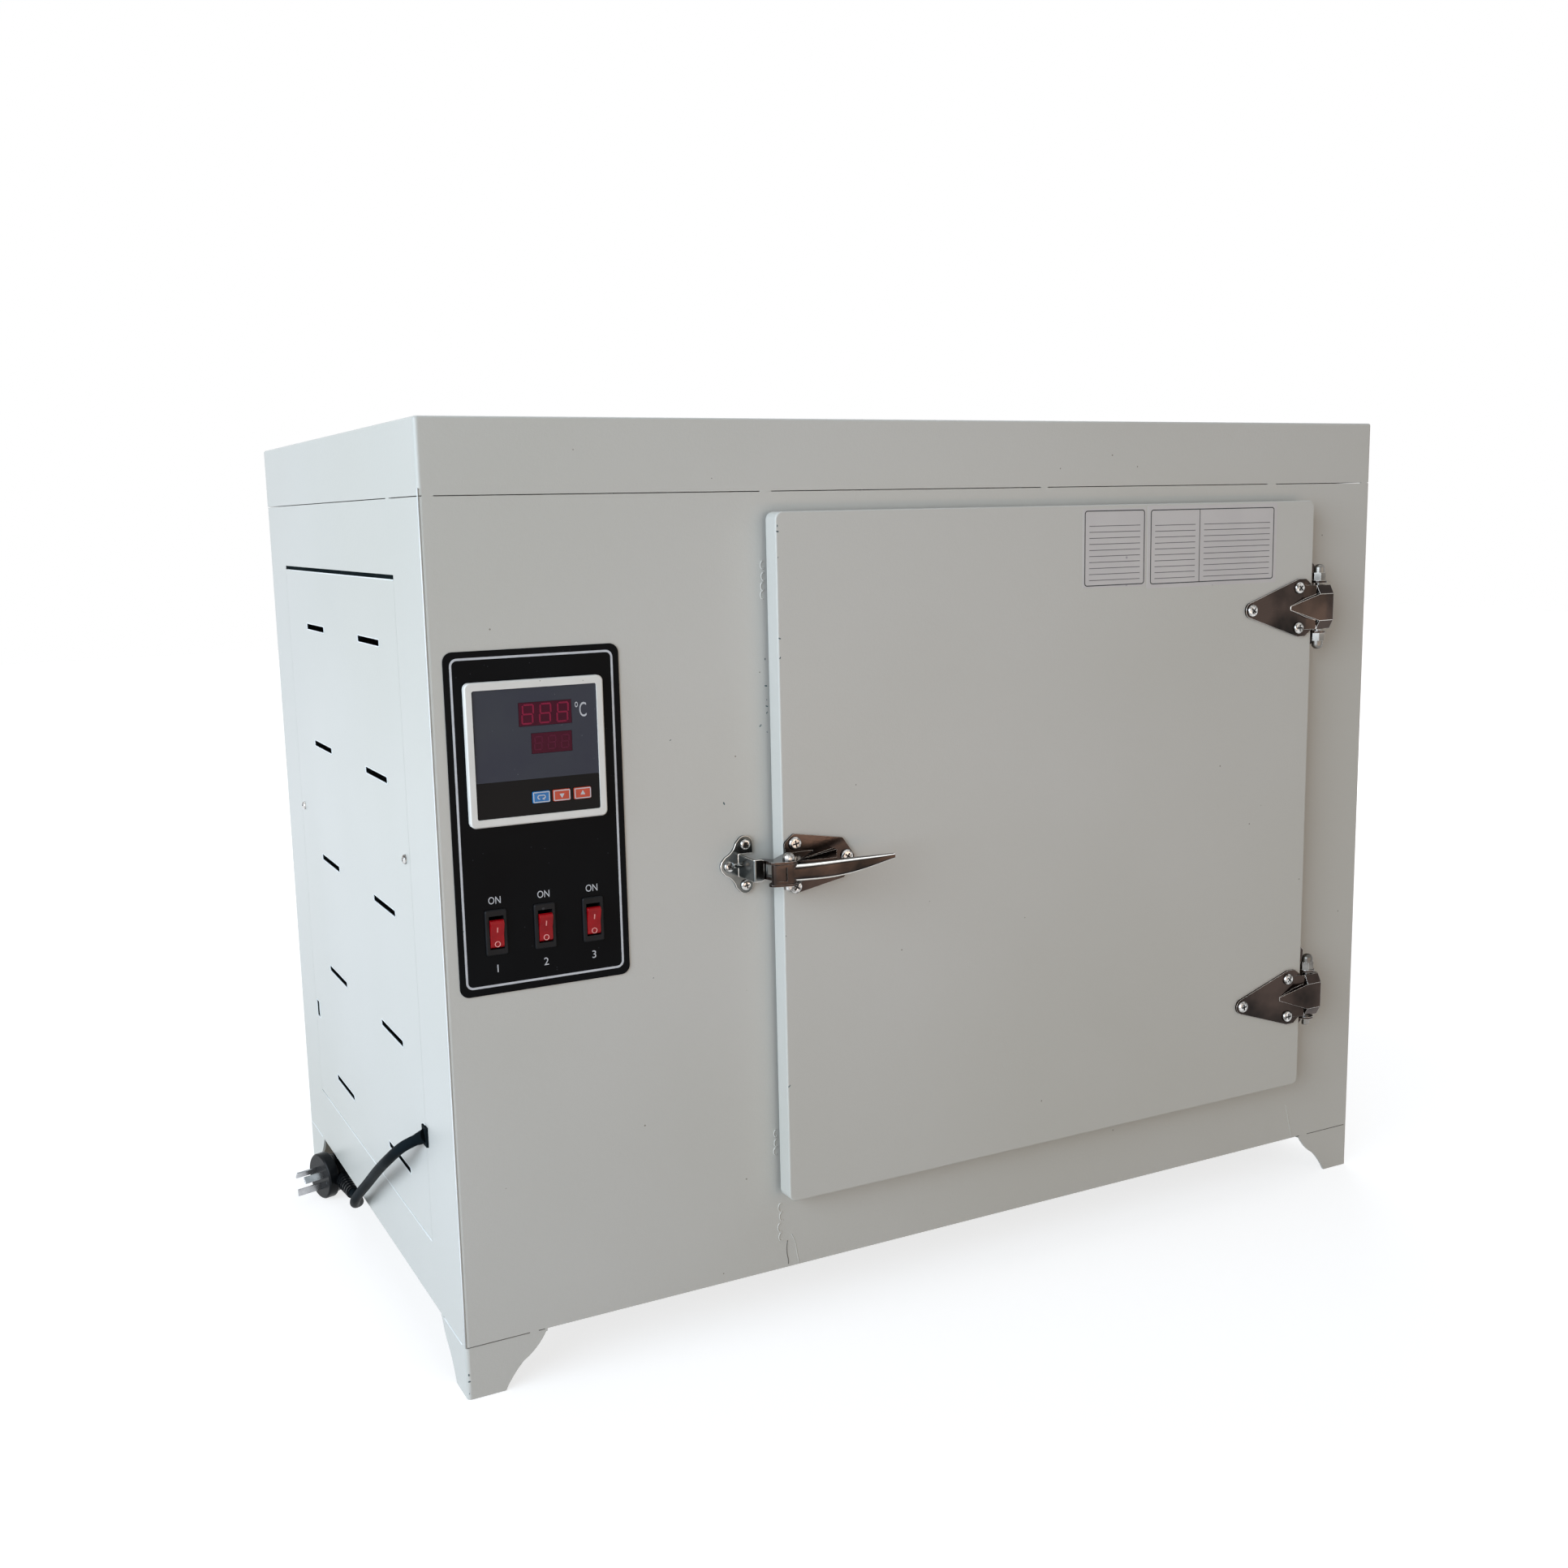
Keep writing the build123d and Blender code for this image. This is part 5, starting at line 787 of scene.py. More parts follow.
def meter_front():
    """Cream frame, grey face and near-black lower strip of the controller."""
    material, tree, shader = new_material("meter_front", 0.38, specular=0.1)
    where = add(tree, "SeparateXYZ", ((0, place_on(tree)),))
    centre = at(METER_CENTRE[0], METER_FACE_Y, METER_CENTRE[1])
    rim = 0.08

    def within(axis, middle, size):
        offset = maths(tree, "ABSOLUTE", maths(tree, "SUBTRACT", where.outputs[axis], middle))
        return maths(tree, "LESS_THAN", offset, (size / 2 - rim) * MM)

    sunk = maths(tree, "GREATER_THAN", where.outputs[1], at(0, METER_FACE_Y - rim, 0).y)
    face = maths(tree, "MULTIPLY", within(0, centre.x, METER_FACE[0]), within(2, centre.z, METER_FACE[1]))
    face = maths(tree, "MULTIPLY", face, sunk)
    upper = maths(tree, "GREATER_THAN", where.outputs[2], METER_SPLIT_Z * MM)
    cream = use_group(tree, TONE, Colour=rgb("edebe5"), Drift=rgb("e5e3dc"), Drift_Scale=30.0,
                      Speck=rgb("a29d8e"), Speck_Scale=400.0, Speck_Level=0.97)
    slate = use_group(tree, TONE, Colour=rgb("40434a"), Drift=rgb("3c3e48"), Drift_Scale=25.0,
                      Speck=rgb("5f6166"), Speck_Scale=500.0, Speck_Level=0.97)
    face_color = mixed(tree, upper, rgb("0b0c0e"), slate.outputs[0])
    tree.links.new(mixed(tree, face, cream.outputs[0], face_color), shader.inputs["Base Color"])
    wandering(tree, shader, 0.38, 0.12, 25.0)
    relief = use_group(tree, PEEL, Scale=2500.0)
    bump(tree, shader, relief.outputs[0], 0.1, 0.02)
    return material


def polished_cast(name, color, drift, roughness):
    """Plated metal with faint buffing swirls, its base colour drifting in broad patches as painted
    reflections.
    """
    return toned(name, color, drift, speck="2a2522", speck_level=0.97, speck_scale=700.0,
                 drift_scale=28.0, roughness=roughness, swing=0.1, smear=40.0, metallic=1.0,
                 peel=0.12, peel_scale=240.0, depth=0.25)


def buffed_casting(name, color, drift, roughness, highlight_color):
    """Plated metal with painted highlight bands along the rounded upper and lower edges of a casting."""
    material = polished_cast(name, color, drift, roughness)
    tree = material.node_tree
    shader = tree.nodes["Principled BSDF"]
    # Faces on the rounded upper and lower edges, found by how they lean, take the pale colour as painted
    # highlight.
    facing = add(tree, "SeparateXYZ", ((0, add(tree, "TexCoord").outputs["Normal"]),))
    lean = maths(tree, "ABSOLUTE", facing.outputs[2])
    highlight_band = maths(tree, "MULTIPLY", between(tree, lean, 0.46, 0.6), between(tree, lean, 0.9, 0.97, 1.0, 0.0))
    plain = shader.inputs["Base Color"].links[0].from_socket
    tree.links.new(mixed(tree, highlight_band, plain, rgb(highlight_color)), shader.inputs["Base Color"])
    return material


def lit_digit(name, color, drift, speck):
    return toned(name, color, drift, speck=speck, drift_scale=300.0, roughness=0.3, specular=0.1)


def key_rubber(name, color, drift, speck):
    return toned(name, color, drift, speck=speck, drift_scale=120.0, roughness=0.42, peel=0.15,
                 peel_scale=1500.0)


def rocker_plastic():
    """Red plastic that lets a little light in."""
    material = toned("rocker_red", "ab0b15", "940812", speck="c93a42", speck_level=0.97, drift_scale=90.0,
                     roughness=0.26, swing=0.12, smear=90.0, coat=0.08, specular=0.18)
    inputs = material.node_tree.nodes["Principled BSDF"].inputs
    inputs["Subsurface Weight"].default_value = 0.1
    inputs["Subsurface Radius"].default_value = (0.002, 0.0004, 0.0004)
    return material


PAINT = toned("ivory_powder_paint", "cbcac4", "c5c4bc", speck="8d897e", speck_level=0.996,
              speck_scale=240.0, drift_scale=2.2, roughness=0.36, swing=0.1, smear=7.0, specular=0.4,
              peel=0.34, peel_scale=420.0, depth=0.25)
STAINLESS = drawn_sheet("brushed_stainless", "c9c8c4", "b5b4b0", 0.28, (14.0, 14.0, 900.0))
GALVANISED = galvanised_sheet()
# Plated metals: dark base colours and darker drift are painted reflections of a dim room; near-white ones
# are painted highlight
CHROME_DARK_REFLECTION = polished_cast("plated_steel_painted_reflection", "473c37", "1f1d1c", 0.15)
CHROME_EDGE_HIGHLIGHT = polished_cast("plated_edges_painted_highlight", "f0eeea", "b9b5b0", 0.12)
LEVER_STEEL_HIGHLIGHTED = buffed_casting("lever_steel_painted_highlight", "473c37", "1f1d1c", 0.15, "f0eeea")
KEEPER_STEEL = polished_cast("keeper_steel", "7b8081", "3f4445", 0.2)
NUT_STEEL = polished_cast("nut_steel", "8e8b86", "3a3835", 0.28)
SCREW_STEEL = toned("screw_steel", "d6d5d3", "54514e", speck="2a2825", speck_level=0.93, speck_scale=900.0,
                    drift_scale=330.0, roughness=0.14, swing=0.16, smear=120.0, metallic=1.0)
# Near-black for the cross recesses of screw heads: painted shade.
RECESS_SHADE = toned("painted_recess_shade", "1b1a19", "2b2927", speck="4a4643", drift_scale=300.0, roughness=0.6)
WOOL = mineral_wool()
SILICONE = toned("silicone_seal", "b5623c", "a5552f", speck="d0b8a8", drift_scale=20.0, roughness=0.6,
                 peel=0.2, peel_scale=900.0)
MOTOR_PAINT = toned("motor_enamel", "2c3033", "33383c", speck="555555", roughness=0.42, peel=0.35,
                    peel_scale=700.0)
HEATER_TUBE = toned("heater_tube", "4c423d", "6b4a3a", speck="2b2624", drift_scale=22.0, roughness=0.46,
                    metallic=0.9, peel=0.2, peel_scale=500.0)
VENT_METAL = toned("vent_plating", "c2c3c2", "aeb0b0", speck="77706a", speck_level=0.96, drift_scale=30.0,
                   roughness=0.26, metallic=1.0, peel=0.06, peel_scale=500.0)
TERMINAL_PLASTIC = toned("terminal_plastic", "d9d5c6", "cdc8b6", speck="8a8474", roughness=0.5, peel=0.2,
                         peel_scale=1200.0)
HEAT_SINK = drawn_sheet("heat_sink", "8e9092", "7b7d80", 0.4, (900.0, 14.0, 14.0))
LABEL_BLACK = toned("label_black", "090a0c", "0d0f11", speck="2c2e32", speck_level=0.97, speck_scale=420.0,
                    drift_scale=14.0, roughness=0.36, swing=0.14, smear=18.0, specular=0.04, peel=0.08,
                    peel_scale=1600.0)
CASE_BLACK = toned("case_black", "1a1b1c", "222324", speck="3a3a3a", roughness=0.5, peel=0.3,
                   peel_scale=1400.0)
METER_FRONT = meter_front()
DISPLAY_RED = toned("display_red", "4a0d26", "420b22", speck="5d1735", speck_level=0.95, speck_scale=900.0,
                    drift_scale=60.0, roughness=0.24, swing=0.08, specular=0.08)
DIGIT_BRIGHT = lit_digit("digit_bright", "8d1f40", "7c1a38", "a03050")
DIGIT_DIM = lit_digit("digit_dim", "5b1733", "51132d", "66203c")
KEY_BLUE = key_rubber("key_blue", "1673b4", "1168a6", "3c8fca")
KEY_ORANGE = key_rubber("key_orange", "c2452a", "b53c22", "d86a4e")
SWITCH_BLACK = toned("switch_black", "131416", "18191c", speck="3a3b3e", drift_scale=60.0, roughness=0.36,
                     specular=0.12, peel=0.22, peel_scale=1300.0, depth=0.05)
ROCKER_RED = rocker_plastic()
CORD_BLACK = toned("cord_black", "12181b", "181f23", speck="3f484f", speck_level=0.97, drift_scale=35.0,
                   roughness=0.3, swing=0.12, smear=45.0, specular=0.002, peel=0.12, peel_scale=700.0,
                   depth=0.08)
PLUG_BLACK = toned("plug_black", "0f1113", "151719", speck="34393c", drift_scale=50.0, roughness=0.24,
                   swing=0.14, smear=50.0, specular=0.12, peel=0.14, peel_scale=600.0, depth=0.06)
PLUG_METAL = toned("pin_metal", "c4c5c8", "a9abae", speck="6b6b6b", drift_scale=140.0, roughness=0.24,
                   metallic=1.0)
PRINT_GREY = toned("print_grey", "c9ccd0", "bcbfc4", speck="8f9398", drift_scale=160.0, roughness=0.45)
PRINT_PINK = toned("print_pink", "f0a9a4", "e59791", speck="d88780", drift_scale=200.0, roughness=0.4)
CARD_PAPER = toned("card_paper", "cdcac8", "c6c3c2", speck="a5a2a6", speck_level=0.97, drift_scale=18.0,
                   roughness=0.5, swing=0.1, smear=14.0)
CARD_INK = toned("card_ink", "1d1f22", "2a2d30", speck="45474b", drift_scale=60.0, roughness=0.5)
RULE_GREY = toned("rule_grey", "5c5b5d", "6a686a", speck="47464a", drift_scale=90.0, roughness=0.5)
# Near-white for lines along edges, slot mouths and the side's seams: painted highlight.
EDGE_HIGHLIGHT = toned("painted_edge_highlight", "f1f3f1", "e7eae8", speck="c4c6c2", drift_scale=40.0, roughness=0.3)
SLOT_SHADOW = toned("slot_shadow", "141a1b", "1b2122", speck="2b3132", drift_scale=60.0, roughness=0.8,
                    specular=0.0)
CHIP_DARK = toned("bared_primer", "4d6468", "3b4a4c", speck="23292a", speck_level=0.6, speck_scale=600.0,
                  drift_scale=260.0, roughness=0.6)
SEAM_SHADOW = toned("seam_shadow", "6f6e68", "5c5b56", speck="3f3e3a", drift_scale=90.0, roughness=0.8)

MATERIAL_OF_SLOT = {
    "painted_steel": PAINT, "stainless": STAINLESS, "galvanised": GALVANISED, "polished_steel": CHROME_DARK_REFLECTION,
    "screws": SCREW_STEEL, "wool": WOOL, "seal": SILICONE, "motor": MOTOR_PAINT, "heater_tube": HEATER_TUBE,
    "vent": VENT_METAL, "terminals": TERMINAL_PLASTIC, "heat_sink": HEAT_SINK, "label_black": LABEL_BLACK,
    "bezel_cream": METER_FRONT, "case_black": CASE_BLACK, "display": DISPLAY_RED, "key_blue": KEY_BLUE,
    "key_orange": KEY_ORANGE, "switch_black": SWITCH_BLACK, "rocker_red": ROCKER_RED,
    "cord_black": CORD_BLACK, "plug_black": PLUG_BLACK, "plug_metal": PLUG_METAL}

SLOT_OF = {part["node"]: part["material_slot"] for part in frame["record"]["subparts"]}


def dress_nodes():
    """Every CAD node takes the finish of its slot."""
    for node, shape in frame["nodes"].items():
        cover(shape, MATERIAL_OF_SLOT[SLOT_OF[node]])


# Mains lead


def mains_lead():
    """The lead as one smooth line through its route."""
    lead = routed_curve("mains_lead", LEAD_POINTS, LEAD_RADIUS, LEAD_SIDES)
    finish(lead, CORD_BLACK, "oven", ("power_cord",))
    lead_fittings()


def lead_fittings():
    """The plug, its boot and the grommet with softened mouldings."""
    return [softened("plug_body", 0.5, PLUG_BLACK), softened("plug_relief", 0.25, PLUG_BLACK),
            softened("plug_pins", 0.2, PLUG_METAL), softened("cord_grommet", 0.3, CORD_BLACK)]


# Screws


def cross_screw(radius):
    """A domed screw with a cross recess coloured dark as painted shade, head to the front, seated at the
    origin.
    """
    start_fresh()
    bpy.ops.mesh.primitive_cylinder_add(vertices=32, radius=radius * MM, depth=HEAD_HEIGHT * MM,
                                        location=(0, -HEAD_HEIGHT / 2 * MM, 0), rotation=(pi / 2, 0, 0))
    head = bpy.context.object
    head.data.materials.append(SCREW_STEEL)
    bpy.ops.object.transform_apply(location=True, rotation=True, scale=True)
    pick(head, "FACE", faces_to((0, 1, 0)))
    bpy.ops.mesh.inset(thickness=(radius - SHANK_RADIUS) * MM)
    bpy.ops.mesh.extrude_region_move(TRANSFORM_OT_translate={"value": (0, SHANK_LENGTH * MM, 0)})
    pick(head, "FACE", faces_to((0, -1, 0)))
    bpy.ops.mesh.region_to_loop()
    bpy.ops.mesh.bevel(offset=HEAD_HEIGHT * HEAD_ROUND * MM, segments=6, affect="EDGES")
    object_mode()
    arm = (RECESS_LENGTH * radius * MM, RECESS_DEPTH * MM, RECESS_WIDTH * radius * MM)
    for turn in (0, pi / 2):
        bpy.ops.mesh.primitive_cube_add(size=1, location=(0, -HEAD_HEIGHT * MM, 0), rotation=(0, turn, 0),
                                        scale=arm)
        slot = bpy.context.object
        slot.data.materials.append(RECESS_SHADE)
        apply_modifier(slot, "BEVEL", width=RECESS_ROUND * MM, segments=1)
        apply_modifier(head, "BOOLEAN", operation="DIFFERENCE", object=slot, solver="EXACT",
                       material_mode="TRANSFER")
        bpy.data.objects.remove(slot)
    return smooth(settle(head), 40)


def screw_heads(node, turn, seat_axis, outward):
    """A cross-recessed screw in the place of each plain one in a node."""
    solids = solids_of(node)
    pattern = cross_screw((solids[0][1].z - solids[0][0].z) / 2 / MM)
    heads = []
    for low, high in solids:
        centre = (low + high) / 2
        tip = low if outward < 0 else high
        centre[seat_axis] = tip[seat_axis] - outward * HEAD_HEIGHT * MM
        head = copied(pattern)
        spin = Matrix.Rotation(radians(FIRST_TURN + NEXT_TURN * len(heads)), 4, "Y")
        head.data.transform(Matrix.Translation(centre) @ turn @ spin)
        heads.append(head)
    bpy.data.objects.remove(pattern)
    finish(join(heads, node + "_crossed"), None, frame["nodes"][node]["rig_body"], (node,))


def all_screws():
    screw_heads("cabinet_screws", Matrix.Identity(4), 1, -1)
    screw_heads("door_screws", Matrix.Identity(4), 1, -1)
    screw_heads("panel_screws", Matrix.Rotation(-pi / 2, 4, "Z"), 0, -1)
    screw_heads("back_screws", Matrix.Rotation(pi, 4, "Z"), 1, 1)


# Side panel


def slot_lips(panel, outer_x):
    """Thin near-white lines round the mouth of each slot, as painted highlight."""
    pick(panel, "FACE", lambda face: face.material_index == 1)
    bpy.ops.mesh.region_to_loop()
    object_mode()
    points = panel.data.vertices
    mouths = set()
    for edge in panel.data.edges:
        if edge.select and max(points[end].co.x for end in edge.vertices) < outer_x + SAME_FACE * MM:
            mouths.add(edge.index)
    pick(panel, "EDGE", lambda edge: edge.index in mouths)
    bpy.ops.mesh.duplicate()
    bpy.ops.mesh.separate(type="SELECTED")
    object_mode()
    rims = next(piece for piece in bpy.context.selected_objects if piece != panel)
    activate(rims)
    bpy.ops.object.convert(target="CURVE")
    bpy.context.object.data.bevel_depth = SLOT_HIGHLIGHT_RADIUS * MM
    bpy.context.object.data.bevel_resolution = 1
    bpy.ops.object.convert(target="MESH")
    highlight_lines = settle(bpy.context.object)
    highlight_lines.name = "slot_lips"
    on_sheet(highlight_lines, EDGE_HIGHLIGHT)


def panel_slit():
    """A dark strip in the slit over the side panel as painted shadow, and a painted highlight line along
    the panel's top edge under it.
    """
    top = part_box("side_panel")[1].z / MM
    slit = block("panel_slit", PANEL_SLIT_DEPTH, PANEL_SPAN_Y, (top, top + PANEL_SLIT_HEIGHT))
    on_sheet(slit, SLOT_SHADOW)
    edge = fine_line([(0, y, top - HIGHLIGHT_LINE_RADIUS) for y in PANEL_SPAN_Y], HIGHLIGHT_LINE_RADIUS)
    edge.name = "panel_top_highlight"
    on_sheet(edge, EDGE_HIGHLIGHT)


def side_panel_slots():
    """The side panel, whose slots' cut edges are coloured dark as painted shadow."""
    panel = merged_copy("side_panel", "side_panel_finished", whole_faces=False)
    bpy.ops.mesh.customdata_custom_splitnormals_clear()
    low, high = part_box("side_panel")
    margin = PANEL_FRAME * MM
    cover(panel, PAINT, SLOT_SHADOW)
    for face in panel.data.polygons:
        inside = all(low[axis] + margin < face.center[axis] < high[axis] - margin for axis in (1, 2))
        face.material_index = 1 if inside and abs(face.normal.x) < 0.5 else 0
    slot_lips(panel, low.x)
    smooth(panel, 20)
    finish(panel, None, "oven", ("side_panel",))
    panel_slit()


# Metal fittings


def fittings():
    """Hinges and latch with their pressed edges rounded, most bevel faces in a painted highlight colour."""
    hinge_plates = {"hinge_leaf_top": 0.6, "hinge_leaf_bottom": 0.6, "hinge_bracket_top": 0.45,
                    "hinge_bracket_bottom": 0.45}
    for node, width in hinge_plates.items():
        softened(node, width, CHROME_DARK_REFLECTION, CHROME_EDGE_HIGHLIGHT)
    softened("hinge_nuts", 0.4, NUT_STEEL, CHROME_EDGE_HIGHLIGHT)
    softened("hinge_pins", 0.3, NUT_STEEL)
    softened("latch_keeper", 0.6, KEEPER_STEEL, CHROME_EDGE_HIGHLIGHT)
    softened("latch_base", 0.55, CHROME_DARK_REFLECTION, CHROME_EDGE_HIGHLIGHT)
    softened("latch_lever", 0.6, LEVER_STEEL_HIGHLIGHTED, CHROME_EDGE_HIGHLIGHT)
    softened("latch_catch", 0.3, KEEPER_STEEL, CHROME_EDGE_HIGHLIGHT)
    softened("latch_pivot", 0.3, SCREW_STEEL)


# Controls


def control_print():
    """Border line, ON marks and plain numbers on the label."""
    border = ring_card("label_border", BORDER_X, BORDER_Z, LABEL_FACE, PRINT_THICK, BORDER_RADIUS,
                       BORDER_LINE)
    finish(border, PRINT_GREY, "oven")
    for index, x in enumerate(SWITCH_X, 1):
        on_mark = lettering(f"on_mark_{index}", "ON", ON_SIZE, x, LABEL_FACE, ON_Z, narrow=ON_NARROW)
        number = lettering(f"switch_number_{index}", str(index), NUMBER_SIZE, x, LABEL_FACE, NUMBER_Z)
        finish(on_mark, PRINT_GREY, "oven")
        finish(number, PRINT_GREY, "oven")


def display_segment(length, thick, y):
    """One bar of a number display, pointed at both ends, lying along x at the cabinet's corner."""
    bar = block("segment", span(0, length / 2), (y - PRINT_THICK, y), span(0, thick / 2))
    return rounded_edges(bar, "y", thick * SEGMENT_POINT, 1)


def display_digits(name, window, digit, material):
    """Eights side by side in a display window, each leaning a little."""
    window_width, centre_x, centre_z = window
    width, height, thick = digit
    origin = at(0, 0, 0)
    flat = display_segment(width - SEGMENT_GAP * thick, thick, METER_FACE_Y)
    upright = copied(flat)
    upright.data.transform(about(origin, Matrix.Rotation(pi / 2, 4, "Y")))
    upright.data.transform(about(origin, Matrix.Diagonal((1, 1, height / 2 / width, 1))))
    pitch = window_width / DIGIT_COUNT
    bars = []
    for index in range(DIGIT_COUNT):
        middle = centre_x + (index - (DIGIT_COUNT - 1) / 2) * pitch
        for row in (-1, 0, 1):
            rise = row * height / 2
            bars.append(copied(flat, Vector((middle + DIGIT_LEAN * rise, 0, centre_z + rise)) * MM))
        for row in (-1, 1):
            for side in (-1, 1):
                rise = row * height / 4
                across = middle + side * width / 2 + DIGIT_LEAN * rise
                bars.append(copied(upright, Vector((across, 0, centre_z + rise)) * MM))
    for pattern in (flat, upright):
        bpy.data.objects.remove(pattern)
    finish(settle(join(bars, name)), material, "oven")


def triangle(name, x, z, size, up, y):
    """A small solid triangle printed on a key."""
    start_fresh()
    bpy.ops.mesh.primitive_cylinder_add(vertices=3, radius=size * MM, depth=PRINT_THICK * MM,
                                        location=at(x, y - PRINT_THICK / 2, z),
                                        rotation=(pi / 2, 0 if up else pi, 0))
    mark = bpy.context.object
    mark.name = name
    return rounded_edges(settle(mark), "y", TRIANGLE_ROUND, 3)


def loop_arrow(name, x, z, y):
    """An arrow bent back on itself, printed on a key."""
    shaft = open_ring(name, span(x, ARROW_HALF_LENGTH), span(z, ARROW_HALF_HEIGHT), y, PRINT_THICK,
                      ARROW_RADIUS, ARROW_LINE)
    cutter = block("cutter", (x + ARROW_GAP_X[0], x + ARROW_GAP_X[1]), (y - 1, y + 1),
                   (z + ARROW_GAP_Z[0], z + ARROW_GAP_Z[1]))
    apply_modifier(shaft, "BOOLEAN", operation="DIFFERENCE", object=cutter, solver="EXACT")
    bpy.data.objects.remove(cutter)
    tip_x, tip_z = x + ARROW_TIP[0], z + ARROW_TIP[1]
    tip = triangle("tip", tip_x, tip_z, ARROW_TIP_SIZE, True, y)
    tip.data.transform(about(at(tip_x, y, tip_z), Matrix.Rotation(-pi / 2, 4, "Y")))
    return settle(join([shaft, tip], name))


def key_print():
    """Each key's pale rim and its sign."""
    half_width, half_height = (side / 2 - KEY_RIM_INSET for side in KEY_SIZE)
    for node, x in KEY_X.items():
        rim = ring_card(node + "_rim", span(x, half_width), span(KEY_Z, half_height), KEY_FACE,
                        PRINT_THICK, KEY_RIM_RADIUS, KEY_RIM_LINE)
        if node == "key_set":
            sign = loop_arrow(node + "_sign", x, KEY_Z, KEY_FACE)
        else:
            sign = triangle(node + "_sign", x, KEY_Z, KEY_TRIANGLE, node == "key_up", KEY_FACE)
        finish(rim, PRINT_GREY, node)
        finish(sign, PRINT_GREY, node)


def rocker_ring(place):
    """The O mark of a rocker."""
    start_fresh()
    bpy.ops.mesh.primitive_torus_add(location=place, rotation=(pi / 2, 0, 0), major_radius=RING_RADIUS * MM,
                                     minor_radius=MARK_ROUND * MM, major_segments=32, minor_segments=8)
    return settle(bpy.context.object)


def rocker_print():
    """The I and O marks, laid on each rocker's two slopes."""
    slope = (ROCKER_MIDDLE_Y - ROCKER_END_Y) / ROCKER_HALF_LENGTH
    for index, x in enumerate(SWITCH_X, 1):
        tilt = about(at(x, ROCKER_PIVOT_Y, SWITCH_Z), Matrix.Rotation(radians(ROCKER_TILT), 4, "X"))
        marks = []
        for sign, rise in ((1, STROKE_RISE), (-1, RING_RISE)):
            y, z = ROCKER_MIDDLE_Y - slope * rise, SWITCH_Z + sign * rise
            place = at(x, y, z)
            if sign > 0:
                mark = card("stroke", span(x, STROKE_HALF_WIDTH), span(z, STROKE_HALF_HEIGHT), y,
                            PRINT_THICK, MARK_ROUND)
            else:
                mark = rocker_ring(place)
            mark.data.transform(tilt @ about(place, Matrix.Rotation(sign * slope, 4, "X")))
            marks.append(mark)
        finish(join(marks, f"rocker_marks_{index}"), PRINT_PINK, f"switch_{index}")


def slant_ended_rocker(node):
    """A rocker whose two ends are cut back, so that they clear the well as it turns."""
    shape = merged_copy(node, node + "_finished")
    places = [vertex.co.copy() for vertex in shape.data.vertices]
    corners = [max(places, key=lambda place: way * place.z - place.y) for way in (1, -1)]
    straight = runs_along(shape, "x")

    def at_an_end(edge):
        place = shape.data.vertices[edge.vertices[0]].co
        near = min(Vector((0, place.y - corner.y, place.z - corner.z)).length for corner in corners)
        return straight(edge) and near < ROCKER_CORNER_WITHIN * MM

    pick(shape, "EDGE", at_an_end)
    bpy.ops.mesh.bevel(offset=ROCKER_END_SLANT * MM, segments=3, affect="EDGES")
    object_mode()
    return shape


def controls():
    """The label's print, the controller, its keys and displays, and the switches."""
    control_print()
    softened("controller_bezel", 0.35, METER_FRONT, segments=2)
    softened("switch_bodies", 0.3, SWITCH_BLACK, segments=2)
    for node in KEY_X:
        softened(node, 0.25, MATERIAL_OF_SLOT[SLOT_OF[node]], segments=2)
    for node in ("rocker_1", "rocker_2", "rocker_3"):
        softened(node, 0.45, ROCKER_RED, shape=slant_ended_rocker(node))
    display_digits("main_digits", WINDOW_MAIN, MAIN_DIGIT, DIGIT_BRIGHT)
    display_digits("set_digits", WINDOW_SET, SET_DIGIT, DIGIT_DIM)
    degree = lettering("degree_sign", "°C", DEGREE_SIZE, DEGREE_PLACE[0], METER_FACE_Y, DEGREE_PLACE[1],
                       narrow=DEGREE_NARROW)
    finish(degree, PRINT_GREY, "oven")
    key_print()
    rocker_print()


# Door cards


def card_lines(name, x, z, face):
    """The border of a card's print, and the line that divides the large one."""
    lines = [ring_card(name, x, z, face, INK_THICK, CARD_LINE_RADIUS, CARD_LINE)]
    if x[0] < CARD_DIVIDER_X < x[1]:
        lines.append(block("divider", span(CARD_DIVIDER_X, DIVIDER_HALF), (face - INK_THICK, face),
                           (z[0] + DIVIDER_GAP, z[1] - DIVIDER_GAP)))
    return join(lines, name)


def card_rules(name, columns, z, face):
    """Plain ruled rows in each column of a card."""
    rules = []
    for left, right in columns:
        for row in range(int((z[1] - z[0] - 3 * RULE_INSET) / RULE_PITCH) + 1):
            rules.append(block("rule", (left + RULE_INSET, right - RULE_INSET), (face - RULE_THICK, face),
                               span(z[0] + RULE_INSET + row * RULE_PITCH, RULE_HALF)))
    return join(rules, name)


def door_cards():
    """Two information cards, each with a printed border and plain ruled rows."""
    face = DOOR_FACE - CARD_THICK
    for name, (x, z) in (("door_card_small", CARD_SMALL), ("door_card_large", CARD_LARGE)):
        on_sheet(card(name, x, z, DOOR_FACE, CARD_THICK, CARD_RADIUS), CARD_PAPER, "door")
        margin = CARD_MARGIN[name]
        x, z = ((low + margin, high - margin) for low, high in (x, z))
        columns = [x]
        if x[0] < CARD_DIVIDER_X < x[1]:
            columns = [(x[0], CARD_DIVIDER_X), (CARD_DIVIDER_X, x[1])]
        on_sheet(card_lines(name + "_line", x, z, face), CARD_INK, "door")
        on_sheet(card_rules(name + "_rules", columns, z, face), RULE_GREY, "door")


# Marks on the painted sheet, with lines of painted highlight and painted shadow


def fine_line(points, radius):
    """A thin raised line through (x, y, z) places, as a mesh."""
    activate(routed_curve("line", points, radius, 1))
    bpy.ops.object.convert(target="MESH")
    return settle(bpy.context.object)


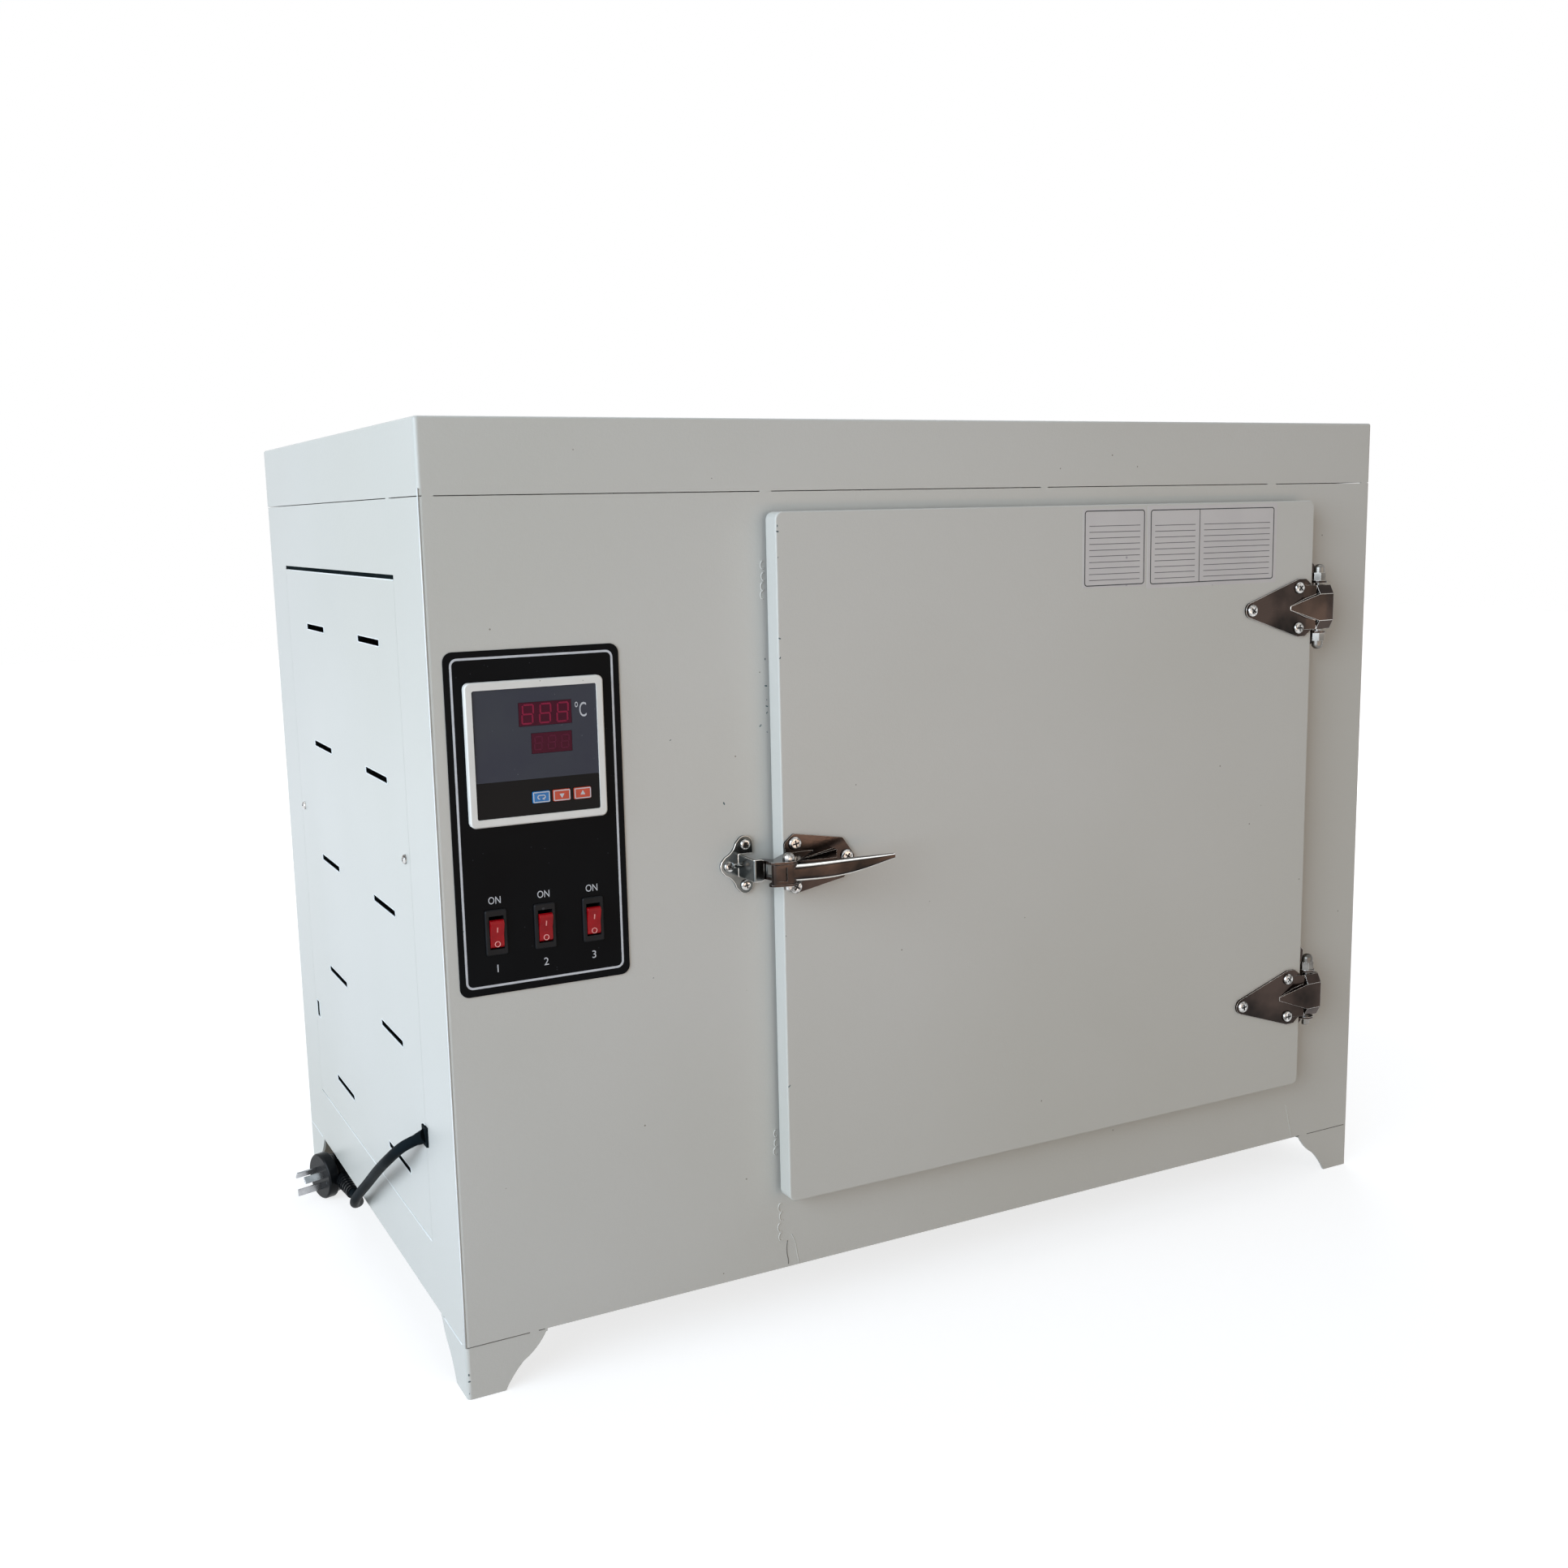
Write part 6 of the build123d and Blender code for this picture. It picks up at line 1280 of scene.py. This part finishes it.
def seams():
    """Seams drawn as painted shadow lines, painted highlight lines along the panel's edge, the front corner
    and the side's foot seams, and the filled joints under the door's corners.
    """
    seam_lines = [fine_line([(x, FRONT_FACE, FOOT_TOP) for x in ends], SEAM_RADIUS) for ends in FOOT_SEAMS]
    seam_lines.append(fine_line([(x, FRONT_FACE, z) for x, z in DOOR_SEAM], SEAM_RADIUS))
    highlight_lines = [fine_line([(0, y, PANEL_HIGHLIGHT_Z) for y in PANEL_SPAN_Y], HIGHLIGHT_LINE_RADIUS)]
    corner = [(CORNER_LINE_INSET, CORNER_LINE_INSET, z) for z in CORNER_LINE_Z]
    highlight_lines.append(fine_line(corner, HIGHLIGHT_LINE_RADIUS))
    for ends in FOOT_SEAMS_SIDE:
        highlight_lines.append(fine_line([(0, y, FOOT_TOP) for y in ends], HIGHLIGHT_LINE_RADIUS))
    on_sheet(join(highlight_lines, "edge_highlight_lines"), EDGE_HIGHLIGHT)
    on_sheet(join(seam_lines, "sheet_seams"), SEAM_SHADOW)
    filled = []
    for route, radius in ((STEP_LINE, STEP_RADIUS), (DENT_LINE, DENT_RADIUS)):
        filled.append(fine_line([(x, FRONT_FACE + radius / 2, z) for x, z in route], radius))
    on_sheet(join(filled, "filled_joints"), PAINT)


def weld_bead(x, z, radius, turn):
    """One crescent ripple of weld under the paint."""
    start_fresh()
    bpy.ops.mesh.primitive_torus_add(location=at(x, FRONT_FACE, z), rotation=(pi / 2, turn, 0),
                                     major_radius=radius * MM, minor_radius=BEAD_ROUND * MM,
                                     major_segments=20, minor_segments=8)
    bead = bpy.context.object
    edit_all(bead)
    bpy.ops.mesh.bisect(plane_co=at(x + BEAD_CUT * radius, 0, z), plane_no=BEAD_CUT_LEAN, use_fill=True,
                        clear_outer=True)
    bpy.ops.mesh.select_all(action="SELECT")
    bpy.ops.transform.resize(value=BEAD_SQUEEZE, center_override=at(x, FRONT_FACE, z))
    object_mode()
    return settle(bead)


def welds():
    """Weld ripples along the door opening's left joint, painted over and a little uneven."""
    beads = []
    for heights, middle, radius, (sway, sway_step), (turn, turn_step) in BEAD_ROWS:
        for index, z in enumerate(heights):
            x = middle + sway * sin(sway_step * index)
            beads.append(weld_bead(x, z, radius, turn * sin(turn_step * index)))
    on_sheet(smooth(join(beads, "weld_beads"), 60), PAINT)


def fleck(x, y, z, index):
    """A flake of missing paint, flat on a front face."""
    start_fresh()
    size = CHIP_SIZE + CHIP_SWING * sin(CHIP_SWING_STEP * index)
    scale = (CHIP_SHAPE[0] * size, CHIP_THICK, CHIP_SHAPE[1] * size)
    bpy.ops.mesh.primitive_ico_sphere_add(subdivisions=2, radius=MM, location=at(x, y, z),
                                          rotation=(0, CHIP_TURN * index, 0), scale=scale)
    flake = bpy.context.object
    bpy.ops.object.mode_set(mode="EDIT")
    bpy.ops.transform.vertex_random(offset=CHIP_RAGGED * MM, seed=index)
    object_mode()
    return settle(flake)


def paint_chips():
    """Chips on the cabinet's front and along the door's left edge."""
    front = [fleck(x, FRONT_FACE, z, index) for index, (x, z) in enumerate(FRONT_CHIPS)]
    on_sheet(join(front, "front_chips"), CHIP_DARK)
    edge = [fleck(DOOR_LEFT + DOOR_CHIP_INSET, DOOR_FACE, z, index) for index, z in enumerate(DOOR_CHIPS)]
    on_sheet(join(edge, "door_chips"), CHIP_DARK, "door")


# Making everything

dress_nodes()
photo_camera()
mains_lead()
white_world()
studio_floor()
studio_lights()
all_screws()
side_panel_slots()
fittings()
controls()
door_cards()
seams()
welds()
paint_chips()

bpy.context.scene.view_settings.view_transform = "Standard"
